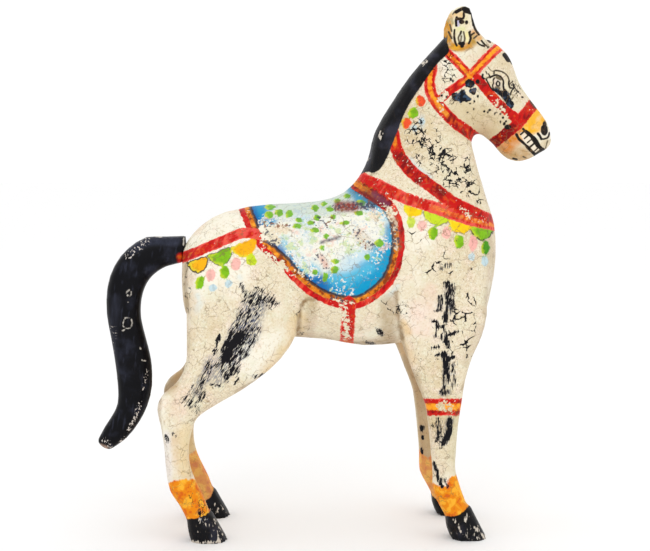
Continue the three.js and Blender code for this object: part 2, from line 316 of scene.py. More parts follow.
def stretched(place, lean, length):
    """The place, for a pattern that is drawn out this much along a direction leaning from upright."""
    inputs = {"Vector": place, "Rotation": (0, lean, 0), "Scale": (1, 1, length)}
    return node("Mapping", inputs, vector_type="TEXTURE").outputs[0]


def field(name, output="Fac"):
    """What was stored at the surface's points under this name."""
    return node("Attribute", {}, attribute_name=name).outputs[output]


def keep(piece, name, values):
    """Stores a value, or a colour with its strength, at each point of a piece's surface."""
    kind, part = ("FLOAT", "value") if values.ndim == 1 else ("FLOAT_COLOR", "color")
    piece.data.attributes.new(name, kind, "POINT").data.foreach_set(part, values.astype(np.float32).ravel())


paint = bpy.data.materials.new("painted_horse")
paint.use_nodes = True
body.data.materials.append(paint)
tree = paint.node_tree
place = node("TexCoord", {}).outputs["Object"]
drift = node("TexNoise", {"Vector": place, "Scale": 1 / CRACK_BEND, "Detail": 2}).outputs["Color"]
drift = node("VectorMath", {0: drift, 1: (CRACK_STRAY,) * 3}, operation="MULTIPLY").outputs[0]
strayed = node("VectorMath", {0: place, 1: drift}, operation="ADD").outputs[0]
crack = cells(strayed, CELL)
small_crack = cells(strayed, SMALL_CELL)
patches = cloud(place, PATCH, 4)
blush = cloud(place, BLUSH, 2)
fleck = grains(place, FLECK)
colour = over(CREAM, PALE_CREAM, rise(patches, 0.5, 0.62))
colour = over(colour, OLD_CREAM, rise(patches, 0.45, 0.33))
colour = over(colour, WARM_CREAM, times(rise(blush, 0.52, 0.66), 0.5))
colour = over(colour, COOL_CREAM, times(rise(blush, 0.46, 0.34), 0.4))
colour = over(colour, OLD_CREAM, times(rise(fleck, 0.65, 1.1), 0.5))
colour = over(colour, PALE_CREAM, times(rise(fleck, 0.35, -0.1), 0.6))
mottle = times(rise(grains(place, PRICK, 3), 0.55, 1.0), rise(patches, 0.58, 0.44))
colour = over(colour, STAIN, times(mottle, 0.45))
wobble = times(calc("SUBTRACT", cloud(place, BRUSH_BEND), 0.5), BRUSH_STRAY)


def from_outline(spot, points):
    """Each spot's distance from a closed outline, less than 0 inside it."""
    line = drawn(points, True)
    inside = np.zeros(len(spot), bool)
    for (u0, v0), (u1, v1) in zip(line, np.roll(line, -1, axis=0)):
        if v0 != v1:
            crosses = (v0 > spot[:, 1]) != (v1 > spot[:, 1])
            inside ^= crosses & (spot[:, 0] < (u1 - u0) * (spot[:, 1] - v0) / (v1 - v0) + u0)
    return np.abs(from_line(spot, points, True)[0]) * np.where(inside, -1, 1)


def from_oval(spot, u, v, half_width, half_height):
    """Each spot's distance from an upright oval, less than 0 inside it."""
    reach = np.hypot((spot[:, 0] - u) / half_width, (spot[:, 1] - v) / half_height)
    return np.minimum((reach - 1) * min(half_width, half_height), FAR)


def washed(spot, washes):
    """Colour and strength at each spot of soft dabs in turn: each is (colour, strength, radius, line)."""
    wash = np.zeros((len(spot), 4))
    for shade, strength, radius, points in washes:
        share = blots(spot, [(strength, radius, points)])[:, None]
        wash[:, :3] = wash[:, :3] * (1 - share) + np.array(ink(*shade)[:3]) * share
        wash[:, 3:] = 1 - (1 - wash[:, 3:]) * (1 - share)
    wash[:, :3] /= np.maximum(wash[:, 3:], 1e-4)
    return wash


def lay_wash(colour, name, rough):
    """Lays the stored wash over what is there, thinner in spots where rough is low."""
    share = times(field(name, "Alpha"), calc("MULTIPLY_ADD", rough, 0.35, 0.65))
    return over(colour, field(name, "Color"), share)


# Washes: thin soft paint that was rubbed on with a rag or dabbed on while the cream was wet, on the head,
# ears and chest, and painted shade: brown darkening in the creases between legs and belly, along the edges of
# chest, neck, belly and rump, on the far foreleg and on the legs' inner sides.
YELLOW, ORANGE, OCHRE = (244, 178, 20), (212, 130, 42), (206, 148, 56)
TAN, BEIGE = (192, 152, 98), (210, 192, 152)
PALE_BLUE, PALE_PINK, GREY_GREEN, PAINTED_SHADE = (196, 220, 228), (242, 198, 184), (198, 190, 150), (172, 148, 112)
CREASE_SHADE, INNER_SHADE = (146, 118, 84), (168, 132, 92)  # painted shade, in creases and along edges, and on the legs' inner sides
WASHES_AND_SHADE = [  # colour, strength, pixels, line
    (BEIGE, 1.0, 30, [(470, 120), (498, 130)]), (BEIGE, 0.7, 14, [(456, 108), (482, 114)]),
    (BEIGE, 0.8, 10, [(498, 152), (512, 156)]), (TAN, 0.9, 12, [(503, 150), (522, 154)]),
    (TAN, 0.8, 6, [(512, 158), (530, 157)]), (ORANGE, 1.2, 11, [(507, 146), (514, 140), (519, 134)]),
    (ORANGE, 1.0, 6, [(520, 131), (525, 130)]), (YELLOW, 1.5, 10, [(540, 112), (533, 121), (529, 128)]),
    (YELLOW, 1.3, 8, [(541, 119), (536, 128)]), (YELLOW, 0.8, 4, [(521, 136), (525, 134)]),
    (BEIGE, 0.8, 7, [(546, 142), (540, 150)]), ((228, 216, 168), 0.9, 15, [(460, 18), (462, 40)]),
    ((226, 186, 120), 1.0, 5, [(454, 14), (462, 15)]), (OCHRE, 1.4, 5, [(450, 18), (448, 34), (449, 44)]),
    (OCHRE, 1.4, 6, [(450, 45), (458, 48), (470, 45)]), ((220, 160, 84), 1.2, 5, [(473, 33), (479, 38)]),
    ((186, 138, 30), 1.1, 5, [(472, 37), (474, 43)]), (YELLOW, 0.6, 3.5, [(453, 48), (457, 47)]),
    ((244, 232, 150), 0.9, 2.6, [(467, 33), (467, 41)]), ((216, 216, 140), 0.8, 4, [(459, 28), (463, 29)]),
    ((150, 130, 44), 0.9, 2.4, [(451.5, 19), (452.5, 23)]),
    ((200, 194, 218), 1.2, 2.8, [(458, 21), (458, 25)]), ((204, 204, 182), 0.8, 4, [(461, 35), (462, 40)]),
    ((196, 188, 180), 0.9, 4, [(498, 80), (500, 86)]), ((224, 196, 190), 0.8, 2.6, [(495, 80), (495, 87)]),
    (PALE_BLUE, 0.7, 5, [(410, 160), (418, 169), (430, 178)]),
    (PALE_BLUE, 0.6, 5, [(422, 117), (422, 126)]), (PALE_BLUE, 0.5, 5, [(414, 128), (415, 130)]),
    (PALE_BLUE, 0.5, 4, [(197.5, 295.5), (198, 297)]), (PALE_BLUE, 0.3, 6, [(200, 303), (197, 310)]),
    (PALE_BLUE, 0.45, 4.5, [(239.5, 277), (240, 278)]),
    (PALE_BLUE, 0.6, 4, [(384, 300), (391, 294), (398, 286)]),
    ((230, 196, 132), 0.6, 15, [(270, 372), (292, 346), (299, 322)]),
    ((230, 192, 130), 0.8, 7, [(403, 324), (408, 332)]),
    ((236, 200, 150), 0.5, 10, [(402, 345), (410, 360)]), (OCHRE, 0.35, 14, [(175, 440), (185, 470)]),
    (TAN, 1.0, 14, [(158, 372), (168, 384)]), (TAN, 0.35, 12, [(186, 262), (188, 310), (185, 345)]),
    (PAINTED_SHADE, 0.9, 11, [(412, 378), (418, 410), (420, 440)]), (GREY_GREEN, 0.5, 9, [(452, 420), (458, 470)]),
    (PALE_PINK, 0.4, 12, [(430, 290), (425, 330)]), (PALE_PINK, 0.35, 10, [(415, 305), (416, 330)]),
    (PALE_PINK, 0.3, 12, [(182, 395), (178, 410)]), ((238, 214, 160), 0.6, 10, [(186, 430), (186, 470)]),
    # painted shade: darker along the belly, in the creases where the legs meet it, and along chest and neck
    (PAINTED_SHADE, 0.75, 13, [(388, 302), (388, 338)]), (PAINTED_SHADE, 0.5, 9, [(312, 306), (308, 334)]),
    (PAINTED_SHADE, 0.5, 8, [(310, 338), (350, 344), (392, 342)]),
    (CREASE_SHADE, 1.0, 3.4, [(396, 292), (398.5, 318), (402, 338)]),
    (CREASE_SHADE, 1.0, 3, [(314, 300), (306, 300), (301, 307), (299, 320), (298, 337)]),
    (PAINTED_SHADE, 0.5, 8, [(488, 240), (492, 275), (486, 312)]), (PAINTED_SHADE, 0.35, 8, [(478, 330), (466, 362)]),
    (PAINTED_SHADE, 0.35, 8, [(486, 160), (492, 200)]), (PAINTED_SHADE, 0.3, 9, [(300, 350), (280, 378)]),
    (CREASE_SHADE, 0.8, 3, [(186.5, 264), (186, 290), (188, 312)]),
    (CREASE_SHADE, 0.7, 3, [(302, 338), (340, 343.5), (394, 341.5)]),
    (CREASE_SHADE, 0.5, 3, [(298, 340), (286, 362), (262, 378), (236, 392)]),
    (CREASE_SHADE, 0.5, 3, [(160, 400), (160, 425), (168, 470)]),
    (CREASE_SHADE, 0.45, 3, [(487, 316), (479, 345), (462, 390)]),
    (CREASE_SHADE, 0.6, 3, [(402, 338), (410, 370), (420, 410), (425, 440)]),
    ((232, 226, 222), 0.8, 6, [(167, 434), (169, 482)]), (BEIGE, 0.3, 40, [(430, 130), (470, 190)]),
    (BEIGE, 0.25, 30, [(480, 60), (520, 100)]), (BEIGE, 0.3, 12, [(440, 430), (446, 470)]),
]
BRUSHED = 0.009  # m across the spots that the brush or rag left thin
keep(body, "wash", washed(spot, WASHES_AND_SHADE))
# Painted shade: the inner sides of the lower legs are tinted tan.
keep(body, "inner", fade(-outward, -0.1, 0.6) * (1 - fade(places[:, 2], 0.22, 0.3)))
brushed = grains(place, BRUSHED, 3)
colour = over(colour, INNER_SHADE, times(field("inner"), 0.75))
colour = lay_wash(colour, "wash", brushed)

# Fetlocks: a broad band above each hoof, dabbed in orange with a full brush and uneven at its upper edge.
# On the left legs it reaches a little higher, and inside the legs the orange is thin, so that the painted
# shade under it shows through.
FETLOCK_ORANGE, FETLOCK_GOLD, FETLOCK_RUST = (232, 136, 12), (246, 176, 46), (216, 100, 16)
FETLOCK_TOPS = [
    [(426, 484), (434, 484), (440, 487), (447, 486), (449, 479), (457, 475), (462, 474), (480, 468),
     (500, 520), (470, 560), (426, 560)],
    [(150, 500), (166, 485), (172, 482), (182, 480), (195, 479), (206, 477), (230, 480), (240, 560),
     (150, 560)],
]
LEFT_BANDS_HIGHER = 10  # pixels
DAB = 0.009  # m across one dab of the brush
fetlock = np.minimum(*(from_outline(spot, outline) for outline in FETLOCK_TOPS))
fetlock -= LEFT_BANDS_HIGHER * (places[:, 1] > 0)
keep(body, "fetlock", np.where(places[:, 2] < 0.14, fetlock, FAR))
dabs = cloud(place, DAB, 2)
orange = over(FETLOCK_ORANGE, FETLOCK_GOLD, rise(dabs, 0.49, 0.6))
orange = over(orange, FETLOCK_RUST, rise(dabs, 0.44, 0.34))
band = rise(calc("ADD", field("fetlock"), times(wobble, 1.8)), 1.4, -0.6)
thin_inside = calc("MULTIPLY_ADD", field("inner"), -0.4, 1.0)
colour = over(colour, orange, times(band, thin_inside))

# The saddle cloth: painted straight on the wood and rubbed where it was handled, so that it is blue at its
# edge and milky in the middle, with a dark line, a gold band and a red band round it.
CLOTH_OUTLINE = [
    (250, 206), (254, 216), (259, 228), (268, 241), (278, 250), (290, 261), (300, 272), (312, 283),
    (325, 291), (340, 296), (355, 297), (368, 291), (380, 281), (388, 268), (392, 252), (393, 240),
    (392, 228), (388, 216), (381, 207), (371, 200), (361, 193), (352, 186), (344, 160), (250, 160),
    (247, 190),
]
DEEP_BLUE, CLEAR_BLUE, SKY_BLUE, DUSK_BLUE = (0, 102, 170), (0, 150, 196), (74, 180, 214), (56, 144, 180)
MILK_BLUE, MILK_GREEN, MILK = (196, 220, 228), (206, 218, 206), (238, 236, 221)
STREAK_BLUE, BARE_CREAM, BARE_GREEN = (0, 120, 190), (240, 238, 228), (196, 214, 150)
BARE_PINK, BARE_BLUE = (236, 196, 182), (120, 190, 212)
GOLD, DARK_GOLD, PALE_GOLD = (218, 122, 20), (140, 58, 10), (244, 160, 44)
BAND_RED, BAND_SALMON, BAND_DEEP, LINE_BROWN = (200, 14, 18), (228, 70, 50), (150, 10, 14), (50, 16, 18)
BANDS = [  # dark line, gold, red: pixels past the cloth's edge where each begins, is full, ends and is full
    (-2.4, -0.6, 2.4, 0.6), (0.4, 1.6, 6.6, 5.4), (5.0, 6.2, 12.2, 11.2),
]
CLOTH_SHADES = [  # colour, pixels it reaches, line
    (CLEAR_BLUE, 8, [(262, 206), (269, 221)]), (DEEP_BLUE, 6, [(250, 207), (259, 226)]),
    (DEEP_BLUE, 5, [(277, 249), (291, 263)]), (SKY_BLUE, 6, [(286, 240), (295, 256)]),
    (SKY_BLUE, 7, [(300, 261), (312, 270)]), (DEEP_BLUE, 9, [(306, 280), (322, 289), (332, 295)]),
    (CLEAR_BLUE, 13, [(338, 294), (352, 293), (368, 286)]),
    (CLEAR_BLUE, 13, [(368, 286), (382, 273), (389, 258)]),
    (CLEAR_BLUE, 8, [(389, 258), (391, 242), (390, 230)]),
    (SKY_BLUE, 9, [(336, 279), (354, 277), (368, 266)]), (SKY_BLUE, 8, [(368, 266), (379, 250)]),
    (DUSK_BLUE, 6, [(352, 192), (362, 200), (374, 208)]), (SKY_BLUE, 5, [(369, 208), (384, 216)]),
    (MILK_GREEN, 10, [(276, 208), (310, 206), (345, 200)]), (MILK_BLUE, 8, [(302, 220), (308, 238)]),
    (MILK_BLUE, 11, [(344, 264), (362, 256)]), (MILK, 18, [(300, 240), (340, 238), (372, 226)]),
    (MILK, 10, [(282, 228), (294, 238)]), (MILK, 12, [(312, 254), (336, 260)]),
]
weights = np.zeros(len(spot))
cloth_shade = np.zeros((len(spot), 3))
for shade, reach, points in CLOTH_SHADES:
    weight = np.exp(-((from_line(spot, points)[0] / reach) ** 2) * 2) + 1e-5
    cloth_shade += np.array(ink(*shade)[:3]) * weight[:, None]
    weights += weight
cloth_shade /= weights[:, None]
keep(body, "cloth_shade", np.column_stack((cloth_shade, np.ones(len(spot)))))
keep(body, "cloth", from_outline(spot, CLOTH_OUTLINE))
RUBBED = [  # where the painted tack is worn away: strength, pixels, line
    (1.0, 9, [(266, 236), (276, 241)]), (0.62, 5, [(259, 243), (270, 256), (282, 268)]),
    (0.85, 7, [(264, 229), (286, 230)]), (0.9, 6, [(281, 264), (285, 268)]),
    (0.55, 5, [(336, 300), (352, 303)]), (0.62, 8, [(344, 306), (342, 316)]),
    (0.5, 9, [(346, 316), (345, 336)]), (0.5, 6.5, [(384, 210), (394, 226), (395, 248)]),
    (0.62, 6, [(382, 207), (394, 212)]), (0.5, 10, [(374, 214), (384, 222)]),
    (0.66, 11, [(443, 407), (449, 408)]), (0.42, 7, [(462, 210), (484, 221)]),
    (0.6, 5, [(408, 190), (424, 199)]), (0.5, 7, [(497, 104), (506, 118)]),
    (0.2, 6, [(440, 108), (446, 120)]), (0.7, 5, [(446, 94), (440, 100)]), (0.5, 5, [(478, 90), (482, 94)]),
    (0.3, 14, [(310, 250), (330, 250)]), (0.5, 5, [(296, 268), (304, 276)]),
    (0.1, 8, [(400, 150), (420, 176)]),
]
GENERAL_WEAR = 0.02  # lost in tiny flecks all over the tack
keep(body, "rubbed", blots(spot, RUBBED))
wear = times(calc("ADD", fleck, brushed), 0.5)
left = calc("SUBTRACT", calc("ADD", field("rubbed"), GENERAL_WEAR), wear)
kept = rise(left, 0.12, -0.06)  # 1 where the tack's paint is still there

SCUFFS = [  # where the blue is scuffed pale: strength, pixels, line
    (0.95, 8, [(290, 246), (298, 259)]), (0.85, 9, [(300, 262), (313, 272)]),
    (0.2, 9, [(320, 277), (346, 281)]), (0.3, 7, [(334, 291), (350, 292)]),
    (0.45, 8, [(380, 230), (385, 246)]), (0.4, 7, [(383, 246), (376, 260)]),
    (0.6, 9, [(262, 224), (276, 214)]), (0.65, 8, [(362, 208), (384, 216)]),
    (0.1, 9, [(350, 283), (378, 270)]), (0.45, 30, [(300, 236), (360, 236)]),
]
FLECKS = [  # dark flecks on the cloth and in its worn border: strength, pixels, line
    (0.55, 4, [(261, 224), (275, 225)]), (0.55, 4, [(280, 225), (288, 225)]),
    (0.45, 5, [(265, 232), (274, 236)]), (0.5, 5, [(263, 242), (277, 242)]),
    (0.5, 4, [(276, 240), (281, 246)]), (0.45, 5, [(289, 264), (307, 280)]),
    (0.4, 6, [(318, 256), (326, 266)]), (0.4, 8, [(394, 222), (398, 250)]),
    (0.28, 10, [(356, 234), (370, 246)]), (0.5, 8, [(338, 206), (372, 206)]),
    (0.4, 6, [(334, 299), (350, 301)]), (0.35, 9, [(318, 222), (330, 222)]),
]
STROKE, STROKE_LEAN, STROKE_LENGTH = 0.006, 0.5, 3  # m across, radians from upright, times as long
TINT = 0.006  # m across the spots where the paint is thicker
keep(body, "scuffed", blots(spot, SCUFFS))
keep(body, "flecked", blots(spot, FLECKS))
strokes = cloud(stretched(place, STROKE_LEAN, STROKE_LENGTH), STROKE, 3)
tint = grains(place, TINT, 3)
cloth_edge = calc("ADD", field("cloth"), times(wobble, 0.9))
blue = field("cloth_shade", "Color")
blue = over(blue, STREAK_BLUE, times(rise(tint, 0.62, 0.9), 0.18))
scuff = broken(field("scuffed"), fleck, -0.1, 0.1)
blue = over(blue, BARE_CREAM, times(scuff, 0.85))
pale = broken(field("scuffed"), tint, -0.2, 0.15)
blue = over(blue, BARE_GREEN, times(pale, rise(blush, 0.53, 0.6), 0.7))
blue = over(blue, BARE_PINK, times(pale, rise(blush, 0.46, 0.38), 0.6))
blue = over(blue, BARE_BLUE, times(pale, rise(fleck, 0.3, 0.0), 0.55))
colour = over(colour, blue, times(rise(cloth_edge, 0.5, -0.5), kept))
dark_line, gold_band, red_band = (
    times(rise(cloth_edge, begins, full), rise(cloth_edge, ends, full_before))
    for begins, full, ends, full_before in BANDS
)
band_gold = over(GOLD, DARK_GOLD, rise(tint, 0.5, 0.85))
band_gold = over(band_gold, PALE_GOLD, rise(tint, 0.35, 0.0))
band_red = over(BAND_RED, BAND_SALMON, rise(strokes, 0.54, 0.66))
band_red = over(band_red, BAND_DEEP, rise(strokes, 0.46, 0.36))
keep(body, "rear_border", fade(spot[:, 0] + (225 - spot[:, 1]) * 0.8, 402, 392))
bordered = field("rear_border")
colour = over(colour, band_red, times(red_band, kept))
colour = over(colour, band_gold, times(gold_band, bordered, kept))
colour = over(colour, LINE_BROWN, times(dark_line, bordered, kept, 0.92))

# Brushed ornament: leaves on the cloth, spots on the neck, and scallops with drops under the straps. Each
# is one touch of a loaded brush, darker where the paint ran together, and the scallops are outlined.
LEAF, LIME, GREEN, DARK_GREEN = (112, 178, 14), (196, 218, 40), (128, 186, 24), (66, 146, 14)
SUN, AMBER, SPOT_RED = (252, 206, 14), (246, 176, 14), (238, 84, 44)
ROSE, ICE, LIT_GREEN, OUTLINE_BROWN = (243, 178, 168), (190, 216, 224), (222, 226, 60), (40, 36, 22)
LEAVES = [  # middle, width, height
    (270, 207, 9, 5), (269, 215, 8, 7), (279, 213, 7, 7), (289, 214, 7, 7), (299, 220, 7, 4),
    (297, 226, 8, 4), (311, 223, 6, 4), (315, 230, 8, 5), (317, 218, 6, 6), (333, 217, 5, 5),
    (315, 208, 7, 6), (330, 209, 7, 5), (324, 204, 6, 4), (337, 201, 6, 4), (345, 223, 9, 4),
    (326, 236, 5, 5), (322, 248, 5, 5), (335, 270, 8, 7), (315, 272, 5, 7), (325, 277, 5, 9),
    (367, 257, 5, 6), (379, 243, 9, 7), (359, 213, 8, 5), (347, 196, 6, 4), (361, 203, 8, 6),
    (336, 261, 9, 4),
]
DROPS = [  # colour, middle, width, height, lean, how strong
    (SPOT_RED, 420, 101, 10.5, 11, 0, 1), (GREEN, 413, 113, 10, 12, 0.3, 1),
    (SPOT_RED, 406, 123, 10, 11, 0, 1), (LIME, 411, 222.5, 8, 12, 0.1, 0.9),
    (ROSE, 422, 226, 10, 11, 0.1, 0.8), (GREEN, 433, 233, 10, 13.5, 0.1, 1),
    (ROSE, 446.5, 233, 9.5, 13, 0.1, 0.85), (GREEN, 459, 241.5, 10.5, 14, 0.1, 1),
    (ROSE, 473, 243, 9, 16, 0.05, 1), (DARK_GREEN, 485.5, 247.5, 8.5, 15.5, 0.05, 1),
    (ICE, 471.5, 256.5, 7, 8, 0, 0.8), (ICE, 485, 261, 7.5, 9.5, 0, 0.9),
    (GREEN, 199.8, 283, 8.6, 14, 0.27, 1), (ROSE, 210.8, 275, 9.6, 13, 0.1, 0.9),
    (GREEN, 224.3, 272, 10, 13.6, -0.15, 1), (ROSE, 236, 264, 9.6, 12.6, 0.1, 0.9),
    (LIME, 251, 259.5, 10, 14, -0.3, 1), (ICE, 212.7, 288, 8, 8, 0, 0.9),
    (ICE, 228.5, 283.7, 8, 7.6, 0, 0.9), (ICE, 422, 121, 6, 8, 0, 0.7), (ICE, 414, 128, 7, 7, 0, 0.6),
]
SCALLOPS = [  # colour, both ends at the strap, lowest point, how dark its outline is
    (SUN, (404, 204), (423, 210), (412, 217), 0.25), (LIME, (424, 209), (449, 219), (438, 226), 0.6),
    (SUN, (449, 218), (472, 226), (461, 234), 0.6), (GREEN, (471, 225), (494, 226), (485, 240), 0.9),
    (AMBER, (187, 263), (206, 256), (196, 274), 0.9), (GREEN, (208, 255), (230, 247), (221, 266), 0.7),
    (AMBER, (230, 247.5), (255, 237), (246, 257.5), 0.2),
]


def lay(marks, spot, shade, middle, half, lean=0.0, strength=1.0, outline=0.0, flat_top=False):
    """Adds one brushed mark, an oval of these half sizes, where it is nearer than the marks before it."""
    shift = spot - np.array(middle)
    right = shift @ np.array((np.cos(lean), np.sin(lean)))
    down = shift @ np.array((-np.sin(lean), np.cos(lean)))
    edge = (np.hypot(right / half[0], down / half[1]) - 1) * min(half)
    if flat_top:
        edge = np.maximum(edge, -down)
    nearer = edge < marks[:, 0]
    marks[nearer, 0] = edge[nearer]
    marks[nearer, 1:6] = np.array((*ink(*shade)[:3], strength, outline))
    marks[nearer, 6] = right[nearer]


marks = np.zeros((len(spot), 7))
marks[:, 0] = FAR
for u, v, width, height in LEAVES:
    lay(marks, spot, LEAF, (u, v), (width / 2 + 0.4, height / 2 + 0.4), strength=0.95)
for shade, u, v, width, height, lean, strength in DROPS:
    lay(marks, spot, shade, (u, v), (width / 2, height / 2), lean, strength)
for shade, start, end, low, outline in SCALLOPS:
    start, end, low = (np.array(point, float) for point in (start, end, low))
    chord = end - start
    lean = np.arctan2(chord[1], chord[0])
    depth = (low - start) @ np.array((-np.sin(lean), np.cos(lean)))
    lay(marks, spot, shade, (start + end) / 2, (np.linalg.norm(chord) / 2, depth), lean, 1.0, outline, True)
marks[:, 0] = np.where(outward > -0.35, marks[:, 0], FAR)
keep(body, "mark", marks[:, 0])
keep(body, "mark_colour", marks[:, 1:5])
keep(body, "mark_outline", marks[:, 5])
keep(body, "mark_side", marks[:, 6])
mark_edge = calc("ADD", field("mark"), times(wobble, 1.3))
mark_paint = field("mark_colour", "Color")
darker = node("HueSaturation", {"Value": 0.72, "Color": mark_paint}).outputs[0]
mark_paint = over(mark_paint, darker, times(rise(tint, 0.5, 0.8), 0.6))
to_left = calc("MULTIPLY", field("mark_side"), -0.3)
lit = rise(calc("SUBTRACT", to_left, tint), -0.4, 0.5)
is_green = rise(node("SeparateColor", {"Color": mark_paint}).outputs["Blue"], 0.3, 0.1)
lit = times(lit, is_green, rise(mark_edge, -3.6, -0.6), 0.6)
mark_paint = over(mark_paint, LIT_GREEN, lit)
mark_share = times(rise(mark_edge, 0.6, -0.6), field("mark_colour", "Alpha"))
colour = over(colour, mark_paint, times(mark_share, rise(left, 0.3, 0.05)))
outline = field("mark_outline")
ring = calc("SUBTRACT", calc("ABSOLUTE", mark_edge), times(outline, 0.9))
colour = over(colour, OUTLINE_BROWN, times(rise(ring, 0.15, -0.5), outline))

# Straps: headstall, noseband, throat strap, neck and breast straps, girth, crupper and knee bands, brushed
# in red that thins to salmon at its edges, some of them with a line of orange along the middle.
SALMON, STRAP_RED, DARK_RED, RED_ORANGE = (232, 84, 74), (198, 18, 12), (128, 8, 10), (222, 84, 24)
MIDDLE_ORANGE, MIDDLE_RUST = (250, 164, 36), (226, 110, 20)
STRAPS = [  # points, width, depth of the red at both ends, strength of the orange at both ends
    ([(444, 50), (459, 64), (470, 76.5)], 9, (0.5, 0.5), (1, 1)),
    ([(501, 45), (487, 58), (470, 76.5)], 10, (0.3, 0.5), (1, 1)),
    ([(474, 76), (482, 84), (491, 95), (500, 105), (510, 114), (519, 120)], 10, (0.95, 1.0), (0, 0.1)),
    ([(470, 77), (460, 84), (450, 91), (441, 99)], 8.5, (0.8, 0.9), (0.4, 0)),
    ([(432, 66), (430, 78), (430, 88), (433, 97), (439, 106), (447, 115)], 11.5, (0.4, 0.9), (1, 0.6)),
    ([(447, 115), (457, 124), (467, 131), (477, 139)], 11.5, (1.1, 1.2), (0.35, 0)),
    ([(539, 97), (531, 107), (524, 116), (516, 125)], 12, (0.9, 1.1), (0.1, 0)),
    ([(516, 125), (507, 133), (494, 143)], 11, (1.5, 1.7), (0, 0.1)),
    ([(391, 120), (394, 140), (399, 156)], 12.5, (0.8, 1.1), (0.8, 0)),
    ([(399, 156), (410, 170), (425, 182), (440, 193), (452, 202), (466, 209), (480, 216), (496, 223)], 13,
     (1.2, 0.9), (0, 0)),
    ([(357, 176), (380, 186), (400, 196), (420, 203), (440, 209.5), (460, 216.5), (480, 222), (496, 225)],
     12, (0.6, 0.3), (0, 0.45)),
    ([(356, 184), (372, 194), (387, 205)], 12, (1.6, 1.6), (0.7, 0)),
    ([(178, 259), (192, 254), (206, 248), (225, 240), (243, 233), (262, 235)], 10.4, (0.9, 0.15), (0.3, 0)),
    ([(349, 303), (348, 322), (346, 350)], 14, (0.8, 0.7), (0, 0.25)),
]
KNEE_BAND = ([(416, 407), (468, 407)], 17, (1.0, 0.9), (0.9, 0.9))
strap = np.zeros((len(spot), 4))
strap[:, 0] = FAR
for points, width, depths, oranges in STRAPS + [KNEE_BAND]:
    distance, share = from_line(spot, points)
    distance = distance / (width / 2)
    nearer = np.abs(distance) < np.abs(strap[:, 0])
    if points is KNEE_BAND[0]:
        nearer &= outward > 0
    strap[nearer, 0] = distance[nearer]
    strap[nearer, 1] = (depths[0] + (depths[1] - depths[0]) * share)[nearer]
    strap[nearer, 2] = (oranges[0] + (oranges[1] - oranges[0]) * share)[nearer]
keep(body, "strap", np.abs(strap[:, 0]))
keep(body, "strap_side", strap[:, 0])
keep(body, "strap_depth", strap[:, 1])
keep(body, "strap_orange", strap[:, 2])
strap_edge = calc("ADD", field("strap"), times(wobble, 0.16))
from_middle = calc("ADD", calc("ABSOLUTE", field("strap_side")), times(wobble, 0.2))
deep = calc("ADD", field("strap_depth"), calc("MULTIPLY_ADD", strokes, 2.6, -1.5))
deep = calc("SUBTRACT", deep, times(rise(strap_edge, 0.66, 1.0), 0.55))
red = over(SALMON, STRAP_RED, rise(deep, -0.1, 0.4))
red = over(red, DARK_RED, rise(deep, 0.7, 1.25))
red = over(red, RED_ORANGE, times(rise(tint, 0.7, 1.0), 0.5))
painted_middle = calc("SUBTRACT", field("strap_orange"), times(strokes, 0.9))
painted_middle = times(rise(painted_middle, -0.3, 0.15), rise(from_middle, 0.5, 0.26))
middle = over(MIDDLE_ORANGE, MIDDLE_RUST, rise(tint, 0.4, 0.9))
red = over(red, middle, painted_middle)
colour = over(colour, red, times(rise(strap_edge, 1.08, 0.92), kept))

DIRT_GREY, DIRT_BROWN = (64, 66, 84), (136, 86, 56)
SPECK = 0.0034  # m across a speck of dirt
SMEARS = [  # dirt and mixed paint dragged over cloth and straps: colour, strength, pixels, line
    ((112, 46, 40), 0.85, 7, [(363, 191), (376, 200)]), ((112, 62, 92), 0.7, 5, [(374, 194), (387, 204)]),
    ((206, 112, 36), 0.9, 3.6, [(357, 184), (363, 189)]), ((140, 58, 52), 1.2, 8, [(339, 206), (354, 207)]),
    ((78, 88, 108), 0.8, 6, [(361, 205), (371, 206)]), ((206, 116, 96), 0.6, 4.5, [(321, 257), (326, 266)]),
    ((74, 80, 92), 0.9, 2.4, [(321, 242.5), (331, 239.5), (340, 237)]),
    ((150, 96, 60), 0.55, 6, [(395, 222), (398, 248)]),
    ((190, 150, 100), 0.35, 9, [(358, 234), (370, 246)]),
    ((206, 132, 60), 0.5, 4, [(438, 106), (446, 114)]), ((150, 14, 24), 0.6, 5, [(179, 260), (190, 256)]),
    ((206, 112, 36), 0.8, 4, [(341, 343), (350, 343)]),
]
keep(body, "smear", washed(spot, SMEARS))
colour = lay_wash(colour, "smear", fleck)
dirt = broken(field("flecked"), grains(place, SPECK), 0.0, 0.15)
dirt_ink = over(DIRT_GREY, DIRT_BROWN, rise(blush, 0.48, 0.56))
colour = over(colour, dirt_ink, times(dirt, 0.85))

# Mane and hooves: carved in the same wood and painted black, thick and satin. The paint is scratched to pale
# wood along the hooves' lower edges, and chipped here and there on the mane's ridge.
BLACK, SHEEN_GREY, PALE_WOOD = (9, 9, 13), (44, 45, 58), (206, 196, 182)
SHEEN, CHIP, CHIP_LENGTH = 0.03, 0.003, 3  # m across, m across, times as long
UPRIGHT = 0.02  # radians that the grain of the upright legs leans
MANE_EDGE = [
    (449, 52), (440, 61), (431, 72), (420, 88), (410, 103), (403, 117), (398, 130), (392, 145), (387, 158),
    (380, 169), (373, 173), (366, 172), (352, 176), (352, 150), (372, 110), (400, 60), (430, 30), (446, 34),
    (447, 42),
]
HOOF_TOPS = [
    [(426, 517), (446, 516), (455, 516), (463, 512), (470, 504), (480, 492), (510, 530), (500, 565),
     (426, 565)],
    [(166, 520), (187, 519), (199, 518), (209, 512), (216, 500), (240, 520), (240, 565), (166, 565)],
]
